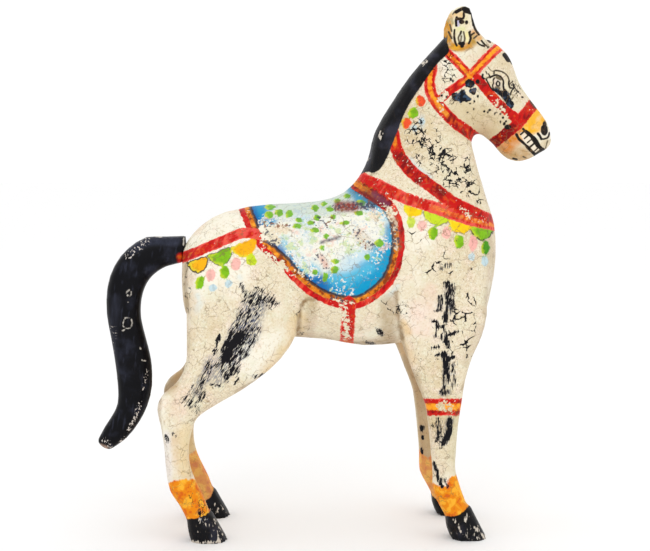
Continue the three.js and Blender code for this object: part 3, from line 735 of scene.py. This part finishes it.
CHIPS = [  # strength, pixels, line
    (0.9, 3, [(426, 62), (423, 63)]), (0.8, 3, [(381, 132), (379, 138)]),
    (0.7, 2.5, [(369, 158), (368, 160)]), (0.7, 3, [(453, 519), (455, 522)]),
    (0.6, 4, [(468, 515), (466, 521)]), (0.45, 7, [(474, 528), (479, 537)]),
    (0.5, 3, [(459, 527), (463, 538)]), (0.65, 6, [(199, 514), (205, 523)]),
    (0.4, 6, [(214, 522), (220, 533)]), (0.65, 3.5, [(191, 541), (206, 543), (222, 541)]),
    (0.8, 3.5, [(483, 536), (486, 538)]), (0.12, 14, [(455, 530), (475, 536)]),
    (0.12, 14, [(195, 534), (215, 536)]),
]
keep(body, "mane", from_outline(spot, MANE_EDGE))
keep(body, "hoof", np.minimum(*(from_outline(spot, outline) for outline in HOOF_TOPS)))
keep(body, "chips", blots(spot, CHIPS) * np.where(places[:, 1] < 0, 1, 0.6))
# Painted sheen: the black turns grey in broad spots.
sheen = cloud(place, SHEEN)
black = over(BLACK, SHEEN_GREY, rise(sheen, 0.5, 0.72))
is_mane = rise(calc("ADD", field("mane"), times(wobble, 0.5)), 0.6, -0.6)
is_hoof = rise(calc("ADD", field("hoof"), times(wobble, 0.8)), 0.6, -0.6)
is_black = calc("MAXIMUM", is_mane, is_hoof)
colour = over(colour, black, is_black)
chip_grain = grains(stretched(place, UPRIGHT, CHIP_LENGTH), CHIP, 3)
chipped = broken(field("chips"), chip_grain, 0.0, 0.2)
colour = over(colour, PALE_WOOD, times(chipped, is_black))

# The head: fine dark lines, drawn with the tip of a brush, for eye, brow, ears, nostrils and bared teeth, and
# dark spots on cheek and brow where paint and gesso are gone.
TOOTH, FAINT_INK, FULL_INK = (240, 228, 206), (120, 108, 84), (22, 18, 16)
SPOT_BLACK, SPOT_BLUE = (14, 16, 24), (54, 74, 96)
HEAD_LINES = [  # pixels wide, how dark, line
    (1.5, 0.7, [(495, 70.5), (500, 71), (505, 73.5), (508, 77), (509, 81)]),
    (1.9, 0.9, [(509, 81), (508.7, 84), (510, 87.5), (512, 88)]),
    (1.8, 0.9, [(490, 77.5), (493, 76), (496, 75), (499.5, 76), (502, 78.5), (503.5, 81.5), (503.3, 85.5),
     (504, 90)]),
    (3.0, 0.5, [(497, 77.2), (500.5, 79)]),
    (1.6, 0.9, [(486, 79), (487, 81), (489, 84.5), (491, 88), (493.5, 90.5)]),
    (1.5, 0.8, [(494.3, 78), (493, 80.5), (493.6, 83), (492.5, 85.5), (493.5, 89)]),
    (1.4, 1.0, [(497.8, 80.9), (499.6, 82.8), (499.4, 85.4), (497.2, 85.6), (496.3, 83.2), (497.8, 80.9)]),
    (2.6, 0.4, [(496, 87.6), (499, 88.4)]), (1.1, 0.6, [(488.3, 67.5), (491, 70.5), (493.5, 71.3)]),
    (1.4, 0.8, [(494, 71), (494, 73.6)]), (1.2, 0.7, [(486, 71.5), (487, 74)]),
    (1.4, 0.95, [(488.5, 73.8), (490.2, 77)]), (2.0, 1.0, [(483, 74.5), (482.3, 77), (484, 78.7)]),
    (1.6, 0.5, [(487, 78), (489, 77)]), (1.2, 0.6, [(510, 84), (512.7, 81.3)]),
    (1.7, 1.0, [(513, 84), (514.3, 87.5)]), (1.5, 0.95, [(514.3, 87.5), (511.5, 91), (510.3, 95)]),
    (1.3, 0.6, [(514.3, 87.5), (516.5, 90), (518.5, 92.5)]), (1.2, 0.5, [(513.5, 96.5), (511.5, 99.5)]),
    (4.6, 1.0, [(504.6, 55), (508.4, 60)]), (1.3, 0.8, [(510, 61), (512, 64)]),
    (2.8, 0.9, [(516.5, 134.5), (519, 139), (523, 142.5), (527, 146.5)]),
    (3.2, 1.0, [(527, 146.5), (531, 150.5), (535, 154.5)]), (2.4, 0.95, [(523.3, 129), (526, 131.5)]),
    (3.8, 1.0, [(526, 131.5), (530, 134.7), (533, 137.5)]),
    (5.0, 1.0, [(533, 138), (536, 142), (538, 145.5)]),
    (3.6, 1.0, [(538, 145.5), (541, 148.5), (543.3, 149.7)]), (1.8, 0.85, [(524, 131.7), (520.7, 134.3)]),
    (1.7, 0.9, [(527.7, 135.8), (524.5, 138.6)]), (1.3, 0.8, [(531, 139.7), (527.3, 142.7)]),
    (2.1, 0.85, [(535, 142.8), (530.5, 146.6)]), (1.6, 0.8, [(538, 147.8), (534.5, 151)]),
    (3.0, 0.85, [(541, 150.5), (537, 153.5)]), (1.6, 0.9, [(537, 153.5), (534.5, 155.5)]),
    (2.6, 1.0, [(538, 133.5), (540, 136.3), (541.3, 139)]),
    (2.0, 1.0, [(541.3, 139), (545, 138.8), (548, 137), (549.6, 133)]),
    (1.8, 0.9, [(513, 158.5), (517, 159.3)]), (1.4, 0.6, [(523, 156.5), (526, 158)]),
    (1.5, 0.7, [(530, 101), (535.5, 108)]), (1.3, 0.45, [(540, 111.5), (545, 117.5), (548, 121.5)]),
    (1.3, 0.4, [(547.5, 141), (545.5, 148)]), (3.6, 1.0, [(456, 12), (461, 9.4), (465, 8.2)]),
    (6.0, 1.0, [(465.5, 10), (470, 11.6)]), (3.2, 1.0, [(471.7, 13), (473, 19), (473.6, 25)]),
    (2.3, 0.95, [(473.8, 25), (475.3, 29.5), (478.8, 34.5)]), (1.8, 0.6, [(452.3, 14), (456, 11)]),
    (2.6, 1.0, [(456.6, 17.5), (456, 21), (456.3, 25.5)]), (3.0, 1.0, [(457, 19), (460.4, 18.9)]),
    (2.2, 0.9, [(463.6, 13), (463.9, 16.5)]), (2.4, 0.9, [(461.5, 19), (463.4, 18)]),
    (2.2, 0.9, [(454.6, 30), (454.2, 34), (454.4, 38), (455.2, 42), (456.7, 45.7)]),
    (1.7, 0.6, [(450, 25), (451.7, 31)]), (1.8, 0.75, [(448.6, 32), (450, 35), (451.7, 38.5)]),
    (2.2, 0.8, [(461.2, 31.5), (460.4, 34)]), (1.8, 0.6, [(460, 34.3), (458.3, 38), (459.4, 42)]),
    (1.6, 0.45, [(461.4, 36), (460.8, 41)]), (1.7, 0.6, [(463.6, 32), (464.8, 38), (464.2, 42)]),
    (2.3, 0.85, [(469.3, 32.5), (470, 35.5), (470.8, 38), (470, 41), (468.8, 43.3)]),
    (1.8, 0.8, [(474, 33), (471, 35.3)]), (1.6, 0.7, [(477, 35.8), (473.8, 38.2)]),
    (1.7, 0.85, [(477.3, 42.3), (480, 44.7), (484.3, 46.3)]),
    (1.6, 0.85, [(481.3, 40.5), (484, 43.7), (487, 46.2)]), (1.7, 1.0, [(488, 40.3), (490.2, 42.3)]),
    (1.3, 0.9, [(487.5, 47.6), (488.8, 47)]),
    (1.0, 0.6, [(451.6, 99.8), (453.8, 102), (451.6, 104.2), (449.4, 102), (451.6, 99.8)]),
]
HEAD_SPOTS = [  # middle, half width, half height
    (544.3, 130, 3.6, 5.6), (544.6, 125, 2.0, 4.2), (461.6, 21.8, 2.8, 2.3), (466.6, 22.2, 1.6, 2.1),
    (460.4, 43.4, 2.4, 1.7), (463.2, 43.4, 1.8, 2.0), (462, 45.8, 2.0, 2.2), (470, 31.6, 1.0, 1.0),
    (522.3, 97.2, 1.3, 1.0), (477.5, 81.5, 2.0, 2.3), (508, 127, 3.6, 2.6), (477.8, 96.3, 1.1, 1.7),
    (474.2, 101.5, 0.9, 1.4), (470, 103.4, 1.1, 0.9), (473.7, 109.3, 0.9, 1.3), (467.7, 112.3, 1.1, 0.8),
    (484.3, 111.2, 1.2, 1.2), (489.7, 110, 1.6, 1.3), (487.8, 112.3, 0.9, 1.4), (494.6, 113.6, 0.9, 1.4),
    (496.7, 112.3, 1.0, 0.9), (500.4, 114, 1.2, 1.3), (503, 112.4, 1.0, 0.8), (503, 117.5, 1.2, 1.5),
    (500.4, 122, 0.9, 1.7), (504.3, 123.8, 1.5, 1.8), (506.2, 121.3, 0.9, 1.2), (446.5, 97, 1.0, 1.3),
    (441.6, 95.6, 1.3, 1.3),
]
WORN_SPOTS = [
    [(465.5, 82), (468, 79.8), (471, 80.5), (474, 83), (473, 86), (470, 87), (467, 86.5)],
    [(453, 94), (456, 93), (459, 95), (461, 91), (464.5, 90), (465, 94), (467.5, 97), (470.5, 99),
     (467, 101), (463.5, 100), (461, 102.5), (458.5, 100.5), (455, 100.5), (452.5, 98)],
    [(470, 90.5), (473, 89), (475.7, 88.3), (475, 92), (473, 94.3), (470.5, 92.5)],
    [(494.5, 90), (497, 88.7), (500, 91), (503, 91.5), (505, 89.5), (506.5, 92), (509, 94), (510, 99),
     (513.5, 104), (511.5, 108.3), (508, 105), (505, 100.5), (501, 96.5), (497, 93)],
]
TEETH = [(520, 134), (524, 132), (529, 137), (534, 142), (539, 149), (536, 153), (531, 150), (526, 144)]
lines, darkness = np.full(len(spot), FAR), np.ones(len(spot))
for width, dark, points in HEAD_LINES:
    distance = np.abs(from_line(spot, points)[0]) - width / 2
    darkness = np.where(distance < lines, dark, darkness)
    lines = np.minimum(lines, distance)
for oval in HEAD_SPOTS:
    distance = from_oval(spot, *oval)
    darkness = np.where(distance < lines, 1, darkness)
    lines = np.minimum(lines, distance)
worn_spots = np.min([from_outline(spot, outline) for outline in WORN_SPOTS], axis=0)
keep(body, "head_line", np.where(outward > -0.2, lines, FAR))
keep(body, "head_dark", darkness)
keep(body, "head_worn", worn_spots)
keep(body, "teeth", from_outline(spot, TEETH))
teeth_share = times(rise(field("teeth"), 0.5, -0.5), 0.85)
colour = over(colour, TOOTH, teeth_share)
line_edge = calc("ADD", field("head_line"), times(wobble, 0.35))
line_ink = over(FAINT_INK, FULL_INK, rise(field("head_dark"), 0.35, 0.95))
colour = over(colour, line_ink, rise(line_edge, 0.45, -0.35))
worn_edge = calc("ADD", field("head_worn"), times(wobble, 1.2))
worn_ink = over(SPOT_BLACK, SPOT_BLUE, rise(tint, 0.55, 0.95))
colour = over(colour, worn_ink, rise(worn_edge, 1.2, 0.3))

# Age: crazing over all the paint, wide cracks on neck and chest, and streaks on the shoulder and thigh
# where hands wore cream and gesso away, down to the black beneath.
CRACK_BROWN, UNDER_BLACK, UNDER_NAVY, VEIL = (126, 98, 66), (13, 12, 17), (74, 84, 112), (94, 100, 120)
SPECK_BROWN, SPECK_DARK = (104, 82, 56), (40, 34, 30)
FINE_STREAK, BROAD_STREAK, STREAK_LENGTH = 0.0009, 0.0026, 6  # m across, m across, times as long
THIGH_LEAN = 0.55  # radians that the thighs' grain leans
WIDE_BREAK, HAIR_BREAK = 0.011, 0.018  # m from one stretch of a crack to the next
WIDEST, SMALL_WIDEST = 0.085, 0.12  # of a cell that a wide crack takes
WORN = [  # strength, pixels, line
    (1.05, 4, [(447, 283), (447.5, 300), (446, 318)]), (0.7, 6, [(452, 286), (451, 308)]),
    (0.95, 3, [(440.5, 296), (440, 310), (435.5, 311)]),
    (0.95, 2.6, [(430, 320), (436, 322), (437, 328), (435.5, 336)]), (1.05, 3.4, [(444, 317), (446, 322)]),
    (1.0, 3, [(443, 326), (446, 334), (448.5, 348)]), (1.05, 3, [(449, 335), (457, 332)]),
    (0.95, 2.6, [(442.5, 335), (443, 342)]), (0.8, 2.4, [(431, 348.5), (440, 346)]),
    (0.95, 2.6, [(436, 355), (446, 353)]), (1.1, 4, [(444.5, 355), (446, 364), (446, 372)]),
    (0.95, 2.8, [(446, 361), (454, 357)]), (0.9, 3, [(447, 372), (450, 381)]),
    (0.9, 2.8, [(445, 374), (443, 388)]), (0.6, 5, [(441, 392), (448, 392)]),
    (0.55, 8, [(452, 366), (452, 384)]), (1.1, 5, [(450, 420), (449, 432), (444, 443)]),
    (0.65, 5, [(439, 420), (438, 440)]), (1.0, 2.8, [(434, 463), (437, 472), (439, 480), (442, 487)]),
    (0.8, 2.4, [(444, 479), (447, 486)]), (0.75, 4, [(241.5, 285), (243, 291)]),
    (0.85, 4, [(245, 301), (257, 304)]), (0.6, 6, [(247, 296), (262, 298)]),
    (0.5, 9, [(262, 292), (274, 304)]), (0.54, 14, [(254, 306), (241, 328)]),
    (0.5, 9, [(244, 310), (238, 318)]), (1.3, 6.5, [(240, 334), (232, 346), (225, 359)]),
    (0.8, 4, [(232, 332), (222, 352)]), (0.8, 5, [(240, 344), (230, 362)]),
    (0.95, 2.6, [(219, 336), (216.5, 347), (214, 354)]), (0.6, 7, [(248, 328), (258, 330)]),
    (0.6, 9, [(252, 338), (243, 354)]), (0.7, 4, [(222, 362), (216, 366)]),
    (0.75, 4, [(222, 368), (226, 380)]), (0.75, 4, [(232, 366), (227, 380)]),
    (0.65, 6, [(209, 364), (206, 378)]), (0.6, 7, [(238, 358), (234, 372)]),
    (0.6, 6, [(202, 382), (198, 392)]), (0.5, 8, [(196, 388), (188, 404)]),
    (0.75, 3, [(211, 385), (221, 386)]), (0.85, 2.4, [(235, 383), (239, 379)]),
    (0.7, 3, [(254, 377), (264, 374.5)]), (0.6, 12, [(250, 330), (240, 352)]),
    (1.0, 3.8, [(379, 331), (382, 334)]), (0.6, 3, [(376, 328), (379, 334)]),
    (0.85, 3, [(166, 436), (168, 442)]), (0.7, 2.6, [(173, 433), (175, 436)]),
    (0.55, 5, [(440, 268), (450, 265)]), (0.8, 2.6, [(450, 79), (453, 81)]),
    (0.6, 3, [(301, 333), (303, 334)]), (0.7, 3, [(366, 342), (374, 344)]),
    (0.6, 5, [(199, 512), (205, 520)]), (0.62, 4, [(205, 392), (199, 401)]),
    (0.6, 3, [(195, 402), (190, 409)]), (0.62, 3, [(187, 397), (183, 403)]),
    (0.55, 4, [(201, 398), (196, 412)]), (0.5, 3, [(192, 391), (187, 399)]),
]
WORN_LEFT = [
    (1.0, 6, [(238, 330), (228, 350)]), (0.7, 8, [(252, 300), (244, 315)]),
    (0.95, 4, [(446, 300), (445, 325)]), (0.9, 4, [(447, 362), (446, 378)]),
    (0.8, 4, [(450, 424), (448, 436)]), (0.7, 5, [(466, 92), (474, 96)]),
]
INNER_CHIPS = [  # on the left foreleg's inner side, where it is seen behind the right one
    (1.6, 2.6, [(421.6, 427), (422, 430)]), (1.5, 2.0, [(422.4, 436.5), (422.4, 438)]),
    (1.6, 2.2, [(421.8, 449), (422, 452)]),
]
VEILED = [  # where the cream is only rubbed thin, grey over the black
    (1.0, 18, [(256, 304), (245, 326)]), (1.2, 16, [(244, 326), (230, 356)]),
    (0.9, 12, [(254, 328), (240, 352)]), (0.8, 13, [(226, 356), (220, 376)]),
    (0.8, 9, [(210, 362), (206, 378)]), (0.6, 9, [(200, 382), (198, 392)]),
    (0.7, 6, [(449, 288), (449, 312)]), (0.5, 5, [(441, 298), (440, 308)]),
    (0.5, 6, [(446, 356), (447, 384)]), (0.6, 5, [(442, 393), (448, 392)]),
    (0.7, 6, [(450, 420), (444, 442)]),
]
CRACKED = [  # wide cracks round the larger cells
    (0.9, 17, [(428, 140), (444, 160)]), (0.8, 14, [(456, 172), (472, 190)]),
    (0.9, 7, [(427, 270), (433, 269), (440, 264), (451, 265)]), (0.9, 7, [(451, 258), (451, 270)]),
    (0.7, 7, [(462, 266), (471, 272), (474, 282)]),
    (0.9, 8, [(454, 320), (458, 317), (470, 315), (472, 300)]), (0.8, 6, [(454, 320), (452, 330)]),
    (0.9, 8, [(462, 336), (468, 340), (472, 334)]), (0.8, 8, [(456, 343), (464, 346), (468, 354)]),
    (0.7, 6, [(468, 296), (474, 300)]), (0.8, 7, [(412, 232), (418, 240)]),
    (0.5, 6, [(442, 250), (446, 258)]), (0.8, 7, [(456, 190), (472, 186)]),
    (0.7, 7, [(476, 192), (480, 200)]), (0.45, 9, [(189, 266), (187, 290), (187, 310)]),
    (0.5, 9, [(300, 300), (296, 312)]), (0.6, 10, [(374, 304), (400, 310)]),
    (0.5, 10, [(200, 384), (212, 388)]), (0.7, 8, [(470, 340), (476, 322)]),
    (0.8, 9, [(430, 320), (438, 328)]), (0.6, 10, [(450, 352), (458, 366)]),
    (0.6, 6, [(450, 300), (458, 318)]),
]
SHATTERED = [  # wide cracks round the small cells
    (0.8, 22, [(424, 134), (432, 150), (440, 158)]), (1.0, 18, [(440, 160), (452, 176)]),
    (0.9, 12, [(412, 136), (420, 126)]), (0.8, 13, [(462, 156), (468, 178)]),
    (0.6, 11, [(420, 158), (432, 170)]), (0.5, 9, [(402, 306), (404, 316)]),
    (0.6, 8, [(436, 426), (441, 446)]), (0.3, 12, [(184, 400), (200, 388)]),
    (0.5, 12, [(256, 292), (270, 304)]), (0.5, 8, [(514, 84), (519, 92)]),
    (0.5, 10, [(194, 494), (202, 508)]), (0.5, 10, [(436, 66), (446, 72)]),
    (0.5, 16, [(452, 60), (446, 80)]),
]
on_right = places[:, 1] < 0
outer = fade(outward, -0.25, 0.15)
worn = outer * np.where(on_right, blots(spot, WORN), blots(spot, WORN_LEFT))
chips = blots(seen_at(places), INNER_CHIPS) * np.where(on_right, 0, 1) * fade(-outward, -0.35, -0.1)
keep(body, "worn", np.maximum(worn, chips))
keep(body, "veiled", outer * blots(spot, VEILED) * np.where(on_right, 1, 0.4))
keep(body, "cracked", outer * blots(spot, CRACKED) * np.where(on_right, 1, 0.7))
keep(body, "shattered", outer * blots(spot, SHATTERED) * np.where(on_right, 1, 0.7))
keep(body, "leans", fade(spot[:, 0], 400, 330))
leans = field("leans")
upright, leaning = (stretched(place, lean, STREAK_LENGTH) for lean in (UPRIGHT, THIGH_LEAN))


def streaks(size):
    """Fine streaks down the forelegs and slanting down the thighs, about 0 to 1."""
    slanting = times(grains(leaning, size, 3), leans)
    return calc("ADD", slanting, times(grains(upright, size, 3), calc("SUBTRACT", 1.0, leans)))


fine_streaks, broad_streaks = streaks(FINE_STREAK), streaks(BROAD_STREAK)
grain = calc("ADD", times(fine_streaks, 0.55), times(broad_streaks, 0.45))
is_bare = broken(field("worn"), calc("MULTIPLY_ADD", grain, 1.2, -0.1), -0.12, 0.18)
under = over(UNDER_BLACK, UNDER_NAVY, rise(is_bare, 0.95, 0.35))
veil = times(field("veiled"), rise(fine_streaks, 1.0, 0.2))
breaks = rise(cloud(place, WIDE_BREAK, 3), 0.4, 0.58)


def split(edge, strength, widest):
    """Where a crack of these cells gapes, up to widest in cells, broken off here and there."""
    width = times(strength, breaks, widest)
    gap = rise(calc("SUBTRACT", edge, width), 0.02, -0.03)
    return times(gap, rise(width, 0.02, 0.045))


wide_split = split(crack, field("cracked"), WIDEST)
is_split = calc("MAXIMUM", wide_split, split(small_crack, field("shattered"), SMALL_WIDEST))
shown = calc("SUBTRACT", 1.0, times(is_black, 0.9))
hair = times(rise(crack, 0.045, 0.0), rise(cloud(place, HAIR_BREAK, 3), 0.42, 0.62), shown)
fine_hair = times(rise(small_crack, 0.05, 0.0), rise(blush, 0.48, 0.62), shown)
colour = over(colour, CRACK_BROWN, times(hair, 0.6))
colour = over(colour, CRACK_BROWN, times(fine_hair, 0.3))
speck = cloud(place, SPECK, 2)
speck_share = times(rise(speck, 0.7, 0.75), shown, rise(patches, 0.56, 0.46), 0.75)
speck_ink = over(SPECK_BROWN, SPECK_DARK, rise(blush, 0.46, 0.56))
colour = over(colour, speck_ink, speck_share)
colour = over(colour, VEIL, veil)
colour = over(colour, under, is_bare)
colour = over(colour, UNDER_BLACK, is_split)

# The finish: hard, slightly uneven old paint, brushed on without varnish, so that it has little gloss, more
# where it is black. It is sunk in at the cracks and where it is worn through.
CRAZE_DEPTH, WORN_DEPTH, GRAIN_HEIGHT, STROKE_HEIGHT = 0.35, 1.2, 0.9, 0.5  # shares of RELIEF
RELIEF, RELIEF_STRENGTH = 0.0004, 0.6  # m
GRAIN, SUNK = 0.004, 0.006  # m across the grain of the relief and the duller spots
SHINE = 0.13  # specular level, 0.5 for a plain varnish
height = times(rise(crack, 0.05, 0.0), -CRAZE_DEPTH)
height = calc("ADD", height, times(calc("MAXIMUM", is_bare, is_split), -WORN_DEPTH))
height = calc("ADD", height, times(cloud(place, GRAIN, 4), GRAIN_HEIGHT))
height = calc("ADD", height, times(strokes, STROKE_HEIGHT))
bump = node("Bump", {"Height": height, "Strength": RELIEF_STRENGTH, "Distance": RELIEF})
rough = calc("MULTIPLY_ADD", cloud(place, SUNK, 2), 0.3, 0.4)
rough = calc("SUBTRACT", rough, times(is_black, 0.12))
connect(tree.nodes["Principled BSDF"], {
    "Base Color": colour, "Roughness": rough, "Normal": bump.outputs[0], "Specular IOR Level": SHINE,
})

# The tail: a separate carved curve, its square end butted against the rump and glued there. It is painted
# black, worn to whitish wood along its inner edge and tip, with a red loop at the root.
TAIL_STEP = 0.002  # m between the points of the carved surface
TAIL_ROUGHNESS, TAIL_SHINE = 0.36, 0.1
TAIL_LEAN, TAIL_LENGTH = 0.1, 5  # radians, times as long
TAIL_STROKE, TAIL_SHEEN, TAIL_STRAY, TAIL_SCRATCH, TAIL_GRAIN = 0.004, 0.02, 0.004, 0.0024, 0.005  # m
TAIL_BLACK, TAIL_SHEEN_GREY, TAIL_STREAK = (9, 9, 14), (36, 38, 50), (48, 50, 64)
LINE_WHITE, TAIL_WOOD = (196, 190, 180), (204, 196, 188)
TAIL_WASHES_AND_SHEEN = [  # colour, strength, pixels, line
    # painted sheen: a grey-blue highlight along the tail's top
    ((62, 66, 84), 0.5, 7, [(176, 241), (150, 241), (132, 250)]),
    ((44, 46, 58), 0.5, 8, [(116, 300), (110, 360)]), ((212, 178, 158), 0.6, 3.4, [(101, 446), (106, 448)]),
    ((200, 24, 20), 1.3, 4.5, [(180, 256), (181, 263)]), ((236, 110, 30), 1.0, 3, [(179, 257), (184, 257)]),
]
TAIL_LINES = [  # pixels wide, line
    (1.4, [(150, 235.5), (162, 237)]),
    (1.3, [(129, 289.5), (131.6, 293), (129, 296.5), (126.4, 293), (129, 289.5)]),
    (1.1, [(124, 320), (123, 326), (128, 328.5), (132, 325), (131, 319), (126, 317.5), (124, 320)]),
    (1.4, [(128, 302), (128.5, 302.5)]), (1.4, [(122, 331), (124, 330)]), (1.4, [(140, 348), (140.5, 349)]),
    (1.4, [(142, 360), (146, 361)]), (1.6, [(183.5, 238), (183.5, 245)]),
]
TAIL_RUBS = [  # strength, pixels, line
    (0.5, 3.4, [(140, 404), (135, 418), (129, 430)]), (0.4, 3, [(124, 438), (120, 443)]),
    (0.25, 3, [(147, 370), (143, 390)]), (0.45, 4, [(104, 440), (110, 446)]),
    (0.25, 6, [(150, 238), (128, 256)]), (0.15, 8, [(112, 330), (106, 400)]),
]
tail = carved_copy("tail", "carved_tail", TAIL_STEP)
from_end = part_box("tail")[1][0] - places_of(tail.data)[:, 0]
rub_down(tail.data, fade(from_end, 0.002, 0.008), 20, True)
tail_spot = seen_at(folded(places_of(tail.data)))
from_lines = [np.abs(from_line(tail_spot, points)[0]) - width / 2 for width, points in TAIL_LINES]
keep(tail, "wash", washed(tail_spot, TAIL_WASHES_AND_SHEEN))
keep(tail, "line", np.min(from_lines, axis=0))
keep(tail, "rubbed", blots(tail_spot, TAIL_RUBS))

black_paint = bpy.data.materials.new("black_tail")
black_paint.use_nodes = True
tail.data.materials.append(black_paint)
tree = black_paint.node_tree
place = node("TexCoord", {}).outputs["Object"]
brush = cloud(stretched(place, TAIL_LEAN, TAIL_LENGTH), TAIL_STROKE, 4)
# Painted sheen: the black turns grey in broad spots, and the washes lay a grey-blue highlight along the top.
colour = over(TAIL_BLACK, TAIL_SHEEN_GREY, rise(cloud(place, TAIL_SHEEN), 0.5, 0.75))
colour = over(colour, TAIL_STREAK, times(rise(brush, 0.56, 0.7), 0.5))
colour = lay_wash(colour, "wash", rise(brush, 0.35, 0.6))
stray = calc("MULTIPLY_ADD", cloud(place, TAIL_STRAY), 1.6, -0.8)
line = calc("ADD", field("line"), stray)
colour = over(colour, LINE_WHITE, rise(line, 0.4, -0.5))
scratched = broken(field("rubbed"), grains(place, TAIL_SCRATCH), 0.0, 0.15)
colour = over(colour, TAIL_WOOD, scratched)
height = calc("ADD", brush, cloud(place, TAIL_GRAIN, 4))
bump = node("Bump", {"Height": height, "Strength": RELIEF_STRENGTH, "Distance": RELIEF})
connect(tree.nodes["Principled BSDF"], {
    "Base Color": colour, "Roughness": TAIL_ROUGHNESS, "Normal": bump.outputs[0],
    "Specular IOR Level": TAIL_SHINE,
})
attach(tail, "root")
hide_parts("tail")

# The floor and the light: a pale plain ground, a broad soft lamp above the camera, two weaker ones at the
# chest and behind the horse, and a white room.
LAMPS = [  # place, width in metres, watts
    ((-0.7, -2.0, 1.5), 1.2, 5.5), ((1.6, -1.2, 0.9), 1.4, 1.6), ((0.2, 1.6, 1.6), 1.4, 1.8),
]
LAMPS_AIM = Vector((0, 0, 0.3))
FLOOR_RADIUS = 9.0  # m
FLOOR_WHITE, FLOOR_ROUGHNESS = (0.96, 0.96, 0.96, 1), 0.9
ROOM_WHITE, ROOM_LIGHT = (1, 1, 1, 1), 1.04

floor_shape = bmesh.new()
bmesh.ops.create_circle(floor_shape, cap_ends=True, segments=64, radius=FLOOR_RADIUS)
floor = bpy.data.objects.new("floor", bpy.data.meshes.new("floor"))
floor_shape.to_mesh(floor.data)
floor_shape.free()
bpy.context.scene.collection.objects.link(floor)
pale_floor = bpy.data.materials.new("pale_floor")
pale_floor.use_nodes = True
pale_surface = pale_floor.node_tree.nodes["Principled BSDF"]
connect(pale_surface, {"Base Color": FLOOR_WHITE, "Roughness": FLOOR_ROUGHNESS})
floor.data.materials.append(pale_floor)

for index, (stand, size, power) in enumerate(LAMPS):
    lamp = bpy.data.objects.new(f"lamp_{index}", bpy.data.lights.new(f"lamp_{index}", "AREA"))
    lamp.location = stand
    lamp.rotation_euler = (LAMPS_AIM - Vector(stand)).to_track_quat("-Z", "Y").to_euler()
    lamp.data.size = size
    lamp.data.energy = power
    bpy.context.scene.collection.objects.link(lamp)
room = bpy.data.worlds.new("room")
room.use_nodes = True
connect(room.node_tree.nodes["Background"], {"Color": ROOM_WHITE, "Strength": ROOM_LIGHT})
bpy.context.scene.world = room
bpy.context.scene.view_settings.view_transform = "Standard"
